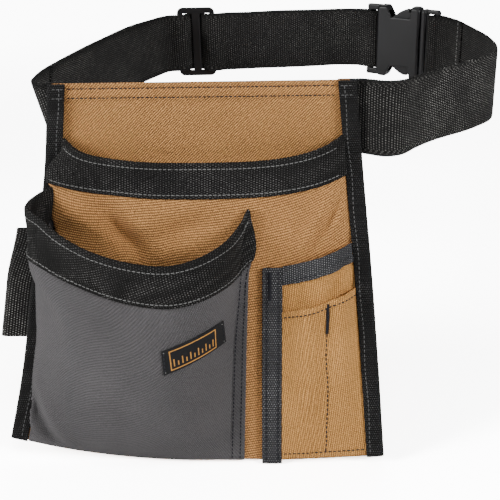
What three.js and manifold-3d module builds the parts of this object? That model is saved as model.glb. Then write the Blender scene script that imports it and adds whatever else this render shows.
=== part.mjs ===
// Carpenter nail apron: a canvas pouch with four pockets on a two inch webbing waist belt.
// Millimetres, +Z up. The pouch faces -Y, and the origin is the middle of the waist loop
// at the belt's mid height.
import * as THREE from 'three';
import Module from 'manifold-3d';
import { mergeVertices } from 'three/addons/utils/BufferGeometryUtils.js';

// Driving dimensions
const gap = 0.3; // between layers that are sewn together
const canvas = 1.1; // thickness of the canvas
const tape = 1.0; // thickness of the binding and the trims
const webbing = 1.5; // thickness of the belt
const beltWidth = 50.8;
const loopWidth = 328; // waist loop, side to side
const loopDepth = 270; // waist loop, front to back
const pouchWidth = 206; // across the top hem
const pouchLength = 263; // down the middle of the panel
const pouchLean = 19; // degrees that the filled pouch leans outwards
const leanStart = 35; // down from the hem, where the lean begins
const leanEnd = 85; // down from the hem, where the lean is full
const cornerLift = 16; // lower left corner above the middle of the bottom
const bindingLeg = 12; // visible width of the side binding
const upperMouth = 37; // down to the ends of the upper pocket's mouth
const upperDip = 16; // how far the mouth's middle hangs lower
const upperDepth = 13; // how far the upper pocket stands out
const trimWidth = 25.4; // webbing folded over the two large mouths
const trimInside = 18; // the part of it that is folded to the inside
const mainMouth = 70; // down to the left end of the main pocket's mouth
const mainDip = 52; // how far the main mouth's lowest point hangs lower
const mainWidth = 133.5; // from the left binding to the right seam
const mainDepth = 44; // how far the main pocket stands out
const seamStrip = 9; // flat strip with two stitch rows at the main pocket's right
const smallMouth = 128; // down to the left end of the small pocket's mouth
const smallRise = 17; // how much higher that mouth is at the right binding
const smallDepth = 8; // how far the small pocket stands out
const sideTape = 13; // grey tape up the small pocket's left side
const topTape = 12.5; // grey tape over the small pocket's mouth
const seamSlant = 6; // how far that seam runs to the left on its way down
const stripWidth = 6; // upper pocket's canvas that shows left of the grey tape
const penMouth = 159; // down to the left end of the pen pocket's mouth
const penRise = 18; // how much higher that mouth is at the right binding
const penDepth = 5; // how far each pen pocket stands out
const penDivider = 82; // right of the pouch's middle, the row that divides the pen pocket
const labelWidth = 41;
const labelHeight = 17;
const labelTurn = 21; // degrees that the label is sewn aslant
const labelRight = -6; // middle of the label from the pouch's middle
const labelDown = 177; // middle of the label down from the hem
const loopStrap = 76.2; // wide webbing of the hammer loop
const loopStrapTop = 100; // down to the hammer loop's upper edge
const loopReach = 20; // how far the hammer loop stands out at the side
const loopHollow = 7; // half the width of the hollow at its lower edge
const tailLength = 395; // webbing from the buckle's bar back to the tail's round end
const tailRound = 12; // corner radius of that end
const glideFromBar = 160; // along the belt from the buckle's bar to the tri-glide
const glideWidth = 34;
const glideHeight = 62;
const glideThick = 2.4;
const glideBar = 7.2; // middle bar
const glideSide = 4.8; // side bars
const buckleHeight = 63;
const buckleThick = 12;
const buckleBody = 41; // length of the female body
const buckleBar = 2.2; // radius of the bars that hold the webbing
const barToBody = 9; // from the female bar to the body
const barToMale = 15; // from the body's mouth to the male bar
const doubled = 38; // webbing doubled back at the male bar
const leftTuck = 3.2; // layers' left ends, in from the pouch's edge
const rightTuck = 5; // layers' right ends, in from the pouch's edge
const underFold = 1.5; // a pocket's wall starts this far under the fold of its trim
const stackRise = 9; // along the right binding, where it climbs on a pocket
const tapeShort = 1.8; // small pocket's top tape stops this far before the binding
const labelThick = 0.8;
const strapThick = 1.2; // webbing of the hammer loop
const foldFrom = 0.3; // share of that webbing's length before its fold
const foldTo = 0.65; // share of its length after which it lies straight again
const cornerRun = 75; // belt's run from its sewn end round the first corner
const slideSettle = 10; // past the slide, until the belt's layers lie flat again
const barSettle = 16; // before a bar, where the belt's layers spread
const clear = 0.4; // between the buckle's halves

const pouchX = -47; // pouch's middle from the loop's middle
const pouchY = -131; // panel's face from the loop's middle
const pouchTop = beltWidth / 2;

const black = { color: 0x232223, roughness: 0.85, metalness: 0 };
const tan = { color: 0xb9854e, roughness: 0.9, metalness: 0 };
const grey = { color: 0x6a6668, roughness: 0.9, metalness: 0 };
const greyTape = { color: 0x55555a, roughness: 0.85, metalness: 0 };
const plastic = { color: 0x1b1b1d, roughness: 0.45, metalness: 0 };

// The panel's side edges: right of the pouch's middle as shares of pouchWidth,
// at shares of pouchLength down from the hem
const edgeRows = [
  { down: 0, left: -0.5, right: 0.495 },
  { down: 0.25, left: -0.544, right: 0.524 },
  { down: 0.5, left: -0.592, right: 0.551 },
  { down: 0.75, left: -0.636, right: 0.573 },
  { down: 1, left: -0.69, right: 0.592 },
];

// The main pocket's mouth, from the left binding to the right seam: right as shares of
// mainWidth, drop as shares of mainDip, out as shares of mainDepth
const mouthRows = [
  { across: 0, right: 0, drop: 0, out: 0 },
  { across: 0.03, right: 0, drop: 0.04, out: 0.1 },
  { across: 0.065, right: -0.08, drop: 0.1, out: 0.22 },
  { across: 0.12, right: -0.13, drop: 0.2, out: 0.43 },
  { across: 0.2, right: -0.11, drop: 0.33, out: 0.74 },
  { across: 0.27, right: -0.04, drop: 0.46, out: 0.89 },
  { across: 0.36, right: 0.06, drop: 0.62, out: 0.94 },
  { across: 0.46, right: 0.2, drop: 0.79, out: 0.92 },
  { across: 0.57, right: 0.38, drop: 0.94, out: 0.88 },
  { across: 0.68, right: 0.57, drop: 1, out: 0.84 },
  { across: 0.78, right: 0.72, drop: 0.92, out: 0.73 },
  { across: 0.87, right: 0.85, drop: 0.74, out: 0.5 },
  { across: 0.94, right: 0.94, drop: 0.54, out: 0.14 },
  { across: 1, right: 1, drop: 0.31, out: 0.035 },
];

// The main pocket's belly below its mouth: out as shares of mainDepth
const bellyRows = [
  { down: 0, out: 1 },
  { down: 0.25, out: 0.97 },
  { down: 0.5, out: 0.86 },
  { down: 0.75, out: 0.66 },
  { down: 0.9, out: 0.4 },
  { down: 1, out: 0 },
];

// The belt's route, seen from above, as shares of loopWidth and loopDepth from the loop's
// middle. tuck draws the lower edge towards the pouch's middle, as a share of beltWidth
const leftRoute = [
  { x: -0.326, y: -0.468, tuck: 0 },
  { x: -0.433, y: -0.468, tuck: 0 },
  { x: -0.471, y: -0.462, tuck: 0.16 },
  { x: -0.489, y: -0.434, tuck: 0.22 },
  { x: -0.494, y: -0.381, tuck: 0.18 },
  { x: -0.488, y: -0.281, tuck: 0.04 },
  { x: -0.476, y: -0.185, tuck: 0 },
  { x: -0.454, y: -0.081, tuck: 0 },
  { x: -0.433, y: 0.022, tuck: 0 },
  { x: -0.409, y: 0.126, tuck: 0 },
  { x: -0.366, y: 0.274, tuck: 0 },
  { x: -0.335, y: 0.359, tuck: 0 },
  { x: -0.308, y: 0.415, tuck: 0 },
  { x: -0.271, y: 0.444, tuck: 0 },
  { x: -0.171, y: 0.452, tuck: 0 },
  { x: -0.006, y: 0.467, tuck: 0 },
  { x: 0.125, y: 0.485, tuck: 0 },
  { x: 0.18, y: 0.489, tuck: 0 },
  { x: 0.223, y: 0.481, tuck: 0 },
  { x: 0.253, y: 0.463, tuck: 0 },
];
const rightRoute = [
  { x: -0.021, y: -0.468, tuck: 0 },
  { x: 0.131, y: -0.468, tuck: 0 },
  { x: 0.171, y: -0.466, tuck: 0 },
  { x: 0.198, y: -0.483, tuck: 0 },
  { x: 0.229, y: -0.5, tuck: 0 },
  { x: 0.259, y: -0.489, tuck: 0 },
  { x: 0.293, y: -0.439, tuck: 0 },
  { x: 0.338, y: -0.381, tuck: 0 },
  { x: 0.43, y: -0.278, tuck: 0 },
  { x: 0.485, y: -0.196, tuck: 0 },
  { x: 0.5, y: -0.122, tuck: 0 },
  { x: 0.5, y: -0.041, tuck: 0 },
  { x: 0.494, y: 0.056, tuck: 0 },
  { x: 0.476, y: 0.189, tuck: 0 },
  { x: 0.457, y: 0.278, tuck: 0 },
  { x: 0.43, y: 0.333, tuck: 0 },
];

const mix = (a, b, share) => a + (b - a) * share;
const clamp = (value, low, high) => Math.min(high, Math.max(low, value));
const smooth = (value) => {
  const share = clamp(value, 0, 1);
  return share * share * (3 - 2 * share);
};

// A smooth value from a table's column, by the column that orders its rows
function read(rows, by, column, at) {
  let row = 0;
  while (row < rows.length - 2 && at > rows[row + 1][by]) row += 1;
  const slope = (i) => {
    const low = Math.max(0, i - 1);
    const high = Math.min(rows.length - 1, i + 1);
    return (rows[high][column] - rows[low][column]) / (rows[high][by] - rows[low][by]);
  };
  const span = rows[row + 1][by] - rows[row][by];
  const t = clamp((at - rows[row][by]) / span, 0, 1);
  const start = (1 + 2 * t) * (1 - t) ** 2 * rows[row][column] + t * (1 - t) ** 2 * span * slope(row);
  const end = t * t * (3 - 2 * t) * rows[row + 1][column] + t * t * (t - 1) * span * slope(row + 1);
  return start + end;
}

// The panel's face in the middle plane: it hangs straight from the belt and then leans out
const leanSteps = 1.2 * pouchLength;
const face = [{ y: 0, z: 0, lean: 0 }];
for (let down = 1; down <= leanSteps; down += 1) {
  const lean = THREE.MathUtils.degToRad(pouchLean) * smooth((down - leanStart) / (leanEnd - leanStart));
  const last = face[face.length - 1];
  face.push({ y: last.y - Math.sin(lean), z: last.z - Math.cos(lean), lean });
}
function faceAt(down) {
  const row = clamp(Math.floor(down), 0, face.length - 2);
  const share = down - row;
  const [a, b] = [face[row], face[row + 1]];
  return { y: mix(a.y, b.y, share), z: mix(a.z, b.z, share), lean: mix(a.lean, b.lean, share) };
}

// A point of the pouch: right of its middle, down from the hem, out from the panel's face
function pouchPoint(right, down, out) {
  const at = faceAt(down);
  const y = pouchY + at.y - out * Math.cos(at.lean);
  return new THREE.Vector3(pouchX + right, y, pouchTop + at.z + out * Math.sin(at.lean));
}

const leftEdge = (down) => pouchWidth * read(edgeRows, 'down', 'left', down / pouchLength);
const rightEdge = (down) => pouchWidth * read(edgeRows, 'down', 'right', down / pouchLength);

// The bottom line rises to the lower left corner
function bottomLine(right) {
  const toLeft = clamp(-right / (0.68 * pouchWidth), 0, 1);
  return pouchLength - cornerLift * toLeft ** 2;
}

const domeLeft = (down) => leftEdge(down) + bindingLeg + gap;
const domeRight = (down) => rightEdge(down) - bindingLeg - gap;
function upperAcross(right, down) {
  const [left, end] = [domeLeft(down), domeRight(down)];
  return clamp((2 * right - left - end) / (end - left), -1, 1);
}
function upperOut(right, down) {
  const steep = mix(8, 4, smooth((down - upperMouth - trimWidth) / trimWidth));
  const dome = 1 - Math.abs(upperAcross(right, down)) ** steep;
  const fall = clamp((down - upperMouth) / (pouchLength - upperMouth), 0, 1);
  return 2 * gap + upperDepth * dome * (1 - fall ** 2.2);
}
const upperMouthLine = (right) => {
  const ends = Math.abs(upperAcross(right, upperMouth));
  return upperMouth + upperDip * (1 - ends ** 3);
};

// Layers that are sewn on the upper pocket start this far out from it
const nextLayer = canvas + 2 * gap;

const seamClear = canvas + 1.5 * gap; // main pocket's wall rises this far inside the binding
const mainSeam = leftEdge(mainMouth) + bindingLeg + seamClear + mainWidth;

// Main pocket: across from the left binding to the right seam, share down from the mouth
function mainPoint(across, share) {
  const mouthDown = mainMouth + mainDip * read(mouthRows, 'across', 'drop', across);
  const seamLeft = leftEdge(mainMouth) + bindingLeg + seamClear;
  const mouthRight = seamLeft + mainWidth * read(mouthRows, 'across', 'right', across);
  const bodyEnd = mix(mainSeam, mainSeam - seamSlant, share);
  const guess = mix(leftEdge(pouchLength), bodyEnd, across);
  const bodyDown = mix(mouthDown, bottomLine(guess), share);
  const bodyRight = mix(leftEdge(bodyDown) + bindingLeg + seamClear, bodyEnd, across);
  const flat = smooth(share / 0.55);
  const right = mix(mouthRight, bodyRight, flat);
  const down = mix(mouthDown, bottomLine(bodyRight), share);
  const strip = 1 - seamStrip / mainWidth;
  const dome = across > strip ? 0 : 1 - Math.abs(2 * across / strip - 1) ** 2.6;
  const mouthOut = read(mouthRows, 'across', 'out', across);
  const swell = mainDepth * mix(mouthOut, dome, flat) * read(bellyRows, 'down', 'out', share);
  return pouchPoint(right, down, upperOut(right, down) + nextLayer + Math.max(0, swell));
}

// Small pocket and pen pocket, on the upper pocket's lower right
const smallLeft = (down) => mainSeam + stripWidth - 0.5 * seamSlant * clamp(down / pouchLength, 0, 1);
const tapeRight = (down) => smallLeft(down) + sideTape;
const rightLeg = (down) => rightEdge(down) - bindingLeg;
function smallAcross(right, down) {
  return clamp((right - smallLeft(down)) / (rightLeg(down) - smallLeft(down)), 0, 1);
}
const smallMouthLine = (right) => smallMouth - smallRise * smallAcross(right, smallMouth) ** 1.7;
const penMouthLine = (right) => penMouth - penRise * smallAcross(right, penMouth) ** 1.7;
function smallOut(right, down) {
  const across = clamp((right - tapeRight(down)) / (rightLeg(down) - tapeRight(down)), 0, 1);
  const fall = clamp((down - smallMouthLine(right)) / (pouchLength - smallMouth), 0, 1);
  const swell = smallDepth * Math.sin(Math.PI * across) ** 2;
  return upperOut(right, down) + nextLayer + swell * (1 - fall ** 1.5);
}
function penOut(right, down) {
  const left = tapeRight(down);
  const end = rightLeg(down);
  const middle = penDivider;
  const across = right < middle ? (right - left) / (middle - left) : (end - right) / (end - middle);
  const swell = Math.sin(Math.PI * clamp(across, 0, 1)) ** 2;
  const fall = clamp((down - penMouthLine(right)) / (pouchLength - penMouth), 0, 1);
  return smallOut(right, down) + nextLayer + penDepth * swell * (1 - fall ** 1.5);
}

// Closed walls

const steps = (count, shape = (value) => value) => (
  Array.from({ length: count + 1 }, (_, i) => shape(i / count))
);
const endsFirst = (value) => 0.5 - 0.5 * Math.cos(Math.PI * value);

// Joins two grids of points into one closed body with its faces pointing out
function closedBody(front, back) {
  const rows = front.length;
  const columns = front[0].length;
  const points = [...front.flat(), ...back.flat()];
  const at = (side, row, column) => side * rows * columns + row * columns + column;
  const faces = [];
  const quad = (a, b, c, d) => faces.push(a, b, c, a, c, d);
  for (let i = 0; i < rows - 1; i += 1) {
    for (let j = 0; j < columns - 1; j += 1) {
      quad(at(0, i, j), at(0, i, j + 1), at(0, i + 1, j + 1), at(0, i + 1, j));
      quad(at(1, i, j), at(1, i + 1, j), at(1, i + 1, j + 1), at(1, i, j + 1));
    }
  }
  for (let i = 0; i < rows - 1; i += 1) {
    quad(at(0, i, 0), at(0, i + 1, 0), at(1, i + 1, 0), at(1, i, 0));
    const end = columns - 1;
    quad(at(0, i + 1, end), at(0, i, end), at(1, i, end), at(1, i + 1, end));
  }
  for (let j = 0; j < columns - 1; j += 1) {
    quad(at(0, 0, j + 1), at(0, 0, j), at(1, 0, j), at(1, 0, j + 1));
    const end = rows - 1;
    quad(at(0, end, j), at(0, end, j + 1), at(1, end, j + 1), at(1, end, j));
  }
  let volume = 0;
  for (let i = 0; i < faces.length; i += 3) {
    const [a, b, c] = [points[faces[i]], points[faces[i + 1]], points[faces[i + 2]]];
    volume += a.dot(b.clone().cross(c));
  }
  if (volume < 0) faces.reverse();
  const geometry = new THREE.BufferGeometry();
  geometry.setAttribute('position', new THREE.Float32BufferAttribute(points.flatMap((p) => p.toArray()), 3));
  geometry.setIndex(faces);
  return geometry;
}

// A wall between two distances from a surface, which place(a, b) gives for a across and b down
function wall(across, down, place, inner, outer) {
  const tiny = 1e-3;
  const normal = (a, b) => {
    const along = place(a + tiny, b).sub(place(a - tiny, b));
    const below = place(a, b + tiny).sub(place(a, b - tiny));
    return below.cross(along).normalize();
  };
  const grid = (out) => down.map((b) => across.map((a) => (
    place(a, b).addScaledVector(normal(a, b), out)
  )));
  return closedBody(grid(outer), grid(inner));
}

const group = new THREE.Group();
function add(name, geometry, finish) {
  const mesh = new THREE.Mesh(geometry, new THREE.MeshStandardMaterial(finish));
  mesh.name = name;
  group.add(mesh);
  return mesh;
}

// Side ends of the layers inside the folded bindings
const leftSide = (down) => leftEdge(down) + leftTuck;
const rightSide = (down) => rightEdge(down) - rightTuck;

// Back panel
const acrossPanel = (a, down) => mix(leftSide(down), rightSide(down), a);
add('back_panel', wall(steps(8), steps(18), (a, b) => {
  const right = acrossPanel(a, pouchLength * b);
  const down = bottomLine(right) * b;
  return pouchPoint(acrossPanel(a, down), down, 0);
}, -canvas, 0), tan);

// Upper pocket
function upperRight(a, down) {
  if (a < 0) return mix(domeLeft(down), leftSide(down), -a);
  if (a > 1) return mix(domeRight(down), rightSide(down), a - 1);
  return mix(domeLeft(down), domeRight(down), a);
}
const upperRows = [0, 0.06, 0.12, 0.2, 0.3, 0.4, 0.52, 0.64, 0.76, 0.88, 1];
add('upper_pocket', wall([-1, ...steps(20, endsFirst), 2], upperRows, (a, b) => {
  const guess = upperRight(a, upperMouth);
  const down = mix(upperMouthLine(guess) + underFold, bottomLine(guess), b);
  const right = upperRight(a, down);
  return pouchPoint(right, down, upperOut(right, down));
}, 0, canvas), tan);

// A tape folded over a mouth: place(a, down) gives the pocket's wall, and down is measured
// from the mouth. The tape goes up the outside, over the edge and down the inside
const foldReach = canvas / 2 + 1.6 * gap + tape / 2;
function foldedTape(across, place, outside, inside, sections) {
  const reach = foldReach;
  const tiny = 1e-3;
  const section = (a, b) => {
    const turn = Math.PI * reach;
    const run = mix(-outside, turn + inside, b);
    const angle = clamp(run / reach, 0, Math.PI);
    const down = run < 0 ? -run : Math.max(0, run - turn);
    const at = place(a, down);
    const along = place(a + tiny, down).sub(place(a - tiny, down));
    const below = place(a, down + tiny).sub(at);
    const out = below.clone().cross(along).normalize();
    const up = below.normalize().negate();
    return at
      .addScaledVector(out, canvas / 2 + reach * Math.cos(angle))
      .addScaledVector(up, reach * Math.sin(angle));
  };
  return wall(across, sections, section, -tape / 2, tape / 2);
}
const foldShare = (outside, inside) => {
  const turn = Math.PI * foldReach;
  const whole = outside + turn + inside;
  const low = outside / whole;
  const high = (outside + turn) / whole;
  return [
    ...steps(2, (v) => low * v), ...steps(3, (v) => mix(low, high, v)).slice(1),
    ...steps(2, (v) => mix(high, 1, v)).slice(1),
  ];
};
const trimEnds = 0.016;
const trimAcross = steps(20, (v) => mix(trimEnds, 1 - trimEnds, endsFirst(v)));
const foldFromWall = (a, down) => {
  const at = upperMouthLine(upperRight(a, upperMouth)) + underFold + down;
  const right = upperRight(a, at);
  return pouchPoint(right, at, upperOut(right, at));
};
const trimRows = foldShare(trimWidth, trimInside);
add('upper_pocket_trim', foldedTape(trimAcross, foldFromWall, trimWidth, trimInside, trimRows), black);

// Main pocket
const mainRows = [0, 0.06, 0.12, 0.19, 0.28, 0.38, 0.5, 0.64, 0.78, 0.9, 1];
const mainAcross = [...mouthRows.flatMap((row, i) => (
  i === 0 ? [0] : [(row.across + mouthRows[i - 1].across) / 2, row.across]
))];
const mainShare = (down) => (underFold + down) / (pouchLength - mainMouth - mainDip);
add('main_pocket', wall(mainAcross, mainRows, (a, b) => (
  mainPoint(a, mix(mainShare(0), 1, b))
), 0, canvas), grey);
add('main_pocket_trim', foldedTape(
  mainAcross.filter((a) => a >= mouthRows[1].across),
  (a, down) => mainPoint(a, mainShare(down)),
  trimWidth, trimInside, trimRows,
), black);

// Small pocket with its grey tapes, and the pen pocket on it
function pocketWall(leftOf, mouthOf, out, bottomShort = 0) {
  const rightOf = (a, down) => (
    a > 1 ? mix(domeRight(down), rightSide(down), a - 1) : mix(leftOf(down), domeRight(down), a)
  );
  return (a, b) => {
    const guess = rightOf(a, smallMouth);
    const down = mix(mouthOf(guess), bottomLine(guess) - bottomShort, b);
    const right = rightOf(a, down);
    return pouchPoint(right, down, out(right, down));
  };
}
const smallStart = (down) => smallLeft(down) + 1;
const penStart = (down) => tapeRight(down) + 2 * gap;
const legClear = (down) => rightLeg(down) - tapeShort;
const smallWall = pocketWall(smallStart, smallMouthLine, smallOut);
add('small_pocket', wall([...steps(13), 2], steps(8), smallWall, 0, canvas), tan);
const tapeFrom = canvas + gap;
add('small_pocket_side_tape', wall(steps(2), steps(12), (a, b) => {
  const down = mix(smallMouth - 1, pouchLength + 2, b);
  const right = mix(smallLeft(down), tapeRight(down), a);
  return pouchPoint(right, down, smallOut(right, down));
}, tapeFrom, tapeFrom + tape), greyTape);
add('small_pocket_top_tape', wall(steps(12), steps(2), (a, b) => {
  const guess = mix(penStart(smallMouth), legClear(smallMouth), a);
  const down = smallMouthLine(guess) - 0.5 + topTape * b;
  const right = mix(penStart(down), legClear(down), a);
  return pouchPoint(right, down, smallOut(right, down));
}, tapeFrom + gap, tapeFrom + gap + tape), greyTape);
const penWall = pocketWall(penStart, penMouthLine, penOut, 1);
add('pen_pocket', wall([...steps(15), 2], steps(7), penWall, 0, canvas), tan);

// Side bindings: the front leg rises over the layers that it takes in
const backLeg = -canvas - gap;
const leftStack = () => canvas + 3.5 * gap;
function rightStack(down) {
  const small = nextLayer * smooth((down - smallMouth + smallRise + stackRise) / stackRise);
  const pen = nextLayer * smooth((down - penMouth + penRise + stackRise) / stackRise);
  return leftStack() + small + pen;
}
function binding(edge, side, stack, end, rows) {
  const section = (b, part) => {
    const down = mix(-0.5, end, b);
    const front = stack(down);
    const radius = (front - backLeg) / 2;
    const leg = bindingLeg - tape - radius;
    const angle = Math.PI * clamp(part - 1, 0, 1);
    const along = part < 1 ? leg * (1 - part) : leg * Math.max(0, part - 2);
    const inward = along - radius * Math.sin(angle);
    const right = edge(down) + side * (tape + radius + inward);
    return pouchPoint(right, down, (front + backLeg) / 2 + radius * Math.cos(angle));
  };
  const place = side > 0 ? (a, b) => section(b, 3 - a) : (a, b) => section(b, a);
  return wall([0, 1, 1.25, 1.5, 1.75, 2, 3], rows, place, 0, tape);
}
add('left_binding', binding(leftEdge, 1, leftStack, pouchLength - cornerLift + 1, steps(16)), black);
const rightSteps = [smallMouth - smallRise, penMouth - penRise].flatMap((mouth) => (
  [mouth - stackRise - 1, mouth - 0.5 * stackRise, mouth - 1].map((down) => down / pouchLength)
));
const rightRows = [...steps(18), ...rightSteps].sort((a, b) => a - b);
add('right_binding', binding(rightEdge, -1, rightStack, pouchLength - 1, rightRows), black);

// Label, sewn aslant on the main pocket: its points are looked up on the pocket's surface
function mainAt(right, down) {
  let across = 0.5;
  let share = 0.3;
  const slip = 1e-3;
  const flat = (a, b) => {
    const p = mainPoint(a, b);
    return [p.x - pouchX, p.z];
  };
  const goal = pouchPoint(right, down, upperOut(right, down) + mainDepth);
  for (let i = 0; i < 12; i += 1) {
    const [x, z] = flat(across, share);
    const [xa, za] = flat(across + slip, share);
    const [xb, zb] = flat(across, share + slip);
    const [dx, dz] = [goal.x - pouchX - x, goal.z - z];
    const [a, b, c, d] = [(xa - x) / slip, (xb - x) / slip, (za - z) / slip, (zb - z) / slip];
    const whole = a * d - b * c;
    across = clamp(across + (d * dx - b * dz) / whole, 0, 1);
    share = clamp(share + (a * dz - c * dx) / whole, 0, 1);
  }
  return mainPoint(across, share);
}
add('label', wall(steps(8), steps(4), (a, b) => {
  const turn = THREE.MathUtils.degToRad(labelTurn);
  const [x, y] = [(a - 0.5) * labelWidth, (b - 0.5) * labelHeight];
  const right = labelRight + x * Math.cos(turn) + y * Math.sin(turn);
  return mainAt(right, labelDown - x * Math.sin(turn) + y * Math.cos(turn));
}, canvas + gap, canvas + gap + labelThick), black);

// Hammer loop behind the left edge: a flat teardrop of wide webbing, wider at its lower edge
const strapFront = backLeg - tape - gap - strapThick / 2;
add('hammer_loop', wall(steps(16), steps(4), (a, b) => {
  const down = loopStrapTop + loopStrap * b;
  const radius = mix(0.35 * loopHollow, loopHollow, smooth(b * 1.6));
  const edge = leftEdge(down);
  const reach = mix(0.8 * loopReach, loopReach, smooth(b * 2));
  const inside = edge + bindingLeg;
  const start = edge - reach + radius;
  const angle = Math.PI * clamp((a - foldFrom) / (foldTo - foldFrom), 0, 1);
  const leg = a < foldFrom ? 1 - a / foldFrom : Math.max(0, (a - foldTo) / (1 - foldTo));
  const right = mix(start, inside, leg) - radius * Math.sin(angle);
  const closing = a > foldTo ? smooth(leg) * (2 * radius - strapThick - gap) : 0;
  return pouchPoint(right, down, strapFront - radius * (1 - Math.cos(angle)) + closing);
}, -strapThick / 2, strapThick / 2), black);

// Belt

const pitch = webbing + 1.3 * gap; // between two layers that lie on each other
const barSpread = buckleBar + gap + webbing / 2; // belt's middle from the middle of a bar
const routePoint = (row) => new THREE.Vector3(row.x * loopWidth, row.y * loopDepth, row.tuck * beltWidth);
const buckleStart = routePoint(leftRoute[leftRoute.length - 1]);
const buckleEnd = routePoint(rightRoute[rightRoute.length - 1]);
const buckleAlong = buckleEnd.clone().sub(buckleStart).normalize();
const buckleMiddle = buckleStart.clone().add(buckleEnd).multiplyScalar(0.5);
const barToBar = barToBody + buckleBody + barToMale;
const femaleBar = buckleMiddle.clone().addScaledVector(buckleAlong, -barToBar / 2);
const maleBar = buckleMiddle.clone().addScaledVector(buckleAlong, barToBar / 2);

// The slide's bars push the two layers in at its sides and out behind its middle bar
const slideLift = glideThick / 2 + 1.5 * gap + pitch;
function slideWave(along) {
  const away = Math.abs(along);
  const half = glideWidth / 2;
  const rise = smooth((away - glideBar / 2) / (half - glideSide - glideBar / 2));
  const settle = 1 - smooth((away - half) / slideSettle);
  return slideLift * (2 * rise - 1) * (away > half ? settle : 1);
}

function beltLine(rows, bar) {
  const curve = new THREE.CatmullRomCurve3([...rows.map(routePoint), bar.clone()], false, 'centripetal');
  curve.arcLengthDivisions = 900;
  const length = curve.getLength();
  return { length, at: (along) => curve.getPointAt(clamp(along / length, 0, 1)) };
}
function levelNormal(from, to) {
  return new THREE.Vector3(to.y - from.y, from.x - to.x, 0).normalize();
}

// Rows of a band that stands on edge; each row may be drawn in at its upper and lower edge
function band(rows, thick) {
  const heights = [-0.5, 0.5];
  const sides = rows.map((row, i) => {
    const from = rows[Math.max(0, i - 1)].at;
    const to = rows[Math.min(rows.length - 1, i + 1)].at;
    const normal = levelNormal(from, to);
    return heights.map((height) => {
      const tuck = row.at.z * (0.5 - height);
      const z = height * (beltWidth - 2 * (row.inset ?? 0));
      const middle = new THREE.Vector3(row.at.x + tuck, row.at.y, z);
      return [0.5, -0.5].map((side) => middle.clone().addScaledVector(normal, side * thick));
    });
  });
  const side = (index) => sides.map((row) => row.map((pair) => pair[index]));
  return closedBody(side(0), side(1));
}

// One run of a belt to its bar, round it and back: inward is 1 where the loop's inside is
// on the right of the way that the route goes, and stride gives the length of the next step
function beltBand({ rows, bar, inward, back, wave, stride, round }) {
  const line = beltLine(rows, bar);
  const stops = [];
  for (let along = 0; along < line.length - 1; along += stride(line.length - along, along)) stops.push(along);
  stops.push(line.length);
  const middle = stops.map((along) => {
    const at = line.at(along);
    const normal = levelNormal(line.at(along - 0.2), line.at(along + 0.2)).multiplyScalar(inward);
    return at.addScaledVector(normal, wave(line.length - along));
  });
  const normals = middle.map((_, i) => (
    levelNormal(middle[Math.max(0, i - 1)], middle[Math.min(middle.length - 1, i + 1)]).multiplyScalar(inward)
  ));
  const half = (i) => mix(barSpread, pitch / 2, smooth((line.length - stops[i]) / barSettle));
  const layer = (i, side) => ({ at: middle[i].clone().addScaledVector(normals[i], side * half(i)) });
  const last = stops.length - 1;
  const outer = stops.map((_, i) => layer(i, -1));
  const along = middle[last].clone().sub(middle[last - 1]).setZ(0).normalize();
  const turn = steps(8).slice(1, -1).map((share) => {
    const angle = Math.PI * share;
    return {
      at: middle[last].clone()
        .addScaledVector(normals[last], -barSpread * Math.cos(angle))
        .addScaledVector(along, barSpread * Math.sin(angle)),
    };
  });
  const inner = [];
  for (let i = last; i >= 0 && line.length - stops[i] <= back; i -= 1) {
    const left = back - (line.length - stops[i]);
    const cut = round && left < round ? round - Math.sqrt(round ** 2 - (round - left) ** 2) : 0;
    inner.push({ ...layer(i, 1), inset: cut });
  }
  return band([...outer, ...turn, ...inner], webbing);
}
const nearSlide = (fromBar) => Math.abs(fromBar - glideFromBar) < glideWidth / 2 + 11;
add('belt_left', beltBand({
  rows: leftRoute,
  bar: femaleBar,
  inward: 1,
  back: tailLength,
  wave: (fromBar) => slideWave(fromBar - glideFromBar),
  stride: (fromBar, along) => {
    if (nearSlide(fromBar)) return 1.6;
    if (Math.abs(fromBar - tailLength) < 1.2 * tailRound || along < cornerRun) return 3;
    return fromBar < 20 ? 4 : 9;
  },
  round: tailRound,
}), black);
add('belt_right', beltBand({
  rows: rightRoute,
  bar: maleBar,
  inward: -1,
  back: doubled,
  wave: () => 0,
  stride: (fromBar, along) => (along < 2 * cornerRun ? 4 : 7),
  round: 0,
}), black);

// Hard pieces: outlines in the plane of along the belt and up, pushed through the thickness

const wasm = await Module();
wasm.setup();
function solid(geometry) {
  const bare = geometry.clone();
  bare.deleteAttribute('normal');
  bare.deleteAttribute('uv');
  const merged = mergeVertices(bare, 1e-4);
  return new wasm.Manifold(new wasm.Mesh({
    numProp: 3,
    vertProperties: new Float32Array(merged.attributes.position.array),
    triVerts: new Uint32Array(merged.index.array),
  }));
}
function toGeometry(manifold) {
  const mesh = manifold.getMesh();
  const geometry = new THREE.BufferGeometry();
  geometry.setAttribute('position', new THREE.BufferAttribute(new Float32Array(mesh.vertProperties), 3));
  geometry.setIndex(new THREE.BufferAttribute(new Uint32Array(mesh.triVerts), 1));
  return geometry;
}
function roundedShape(left, right, low, high, radius) {
  const shape = new THREE.Shape();
  shape.moveTo(left + radius, low);
  shape.lineTo(right - radius, low);
  shape.absarc(right - radius, low + radius, radius, -Math.PI / 2, 0);
  shape.lineTo(right, high - radius);
  shape.absarc(right - radius, high - radius, radius, 0, Math.PI / 2);
  shape.lineTo(left + radius, high);
  shape.absarc(left + radius, high - radius, radius, Math.PI / 2, Math.PI);
  shape.lineTo(left, low + radius);
  shape.absarc(left + radius, low + radius, radius, Math.PI, 1.5 * Math.PI);
  return shape;
}
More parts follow.
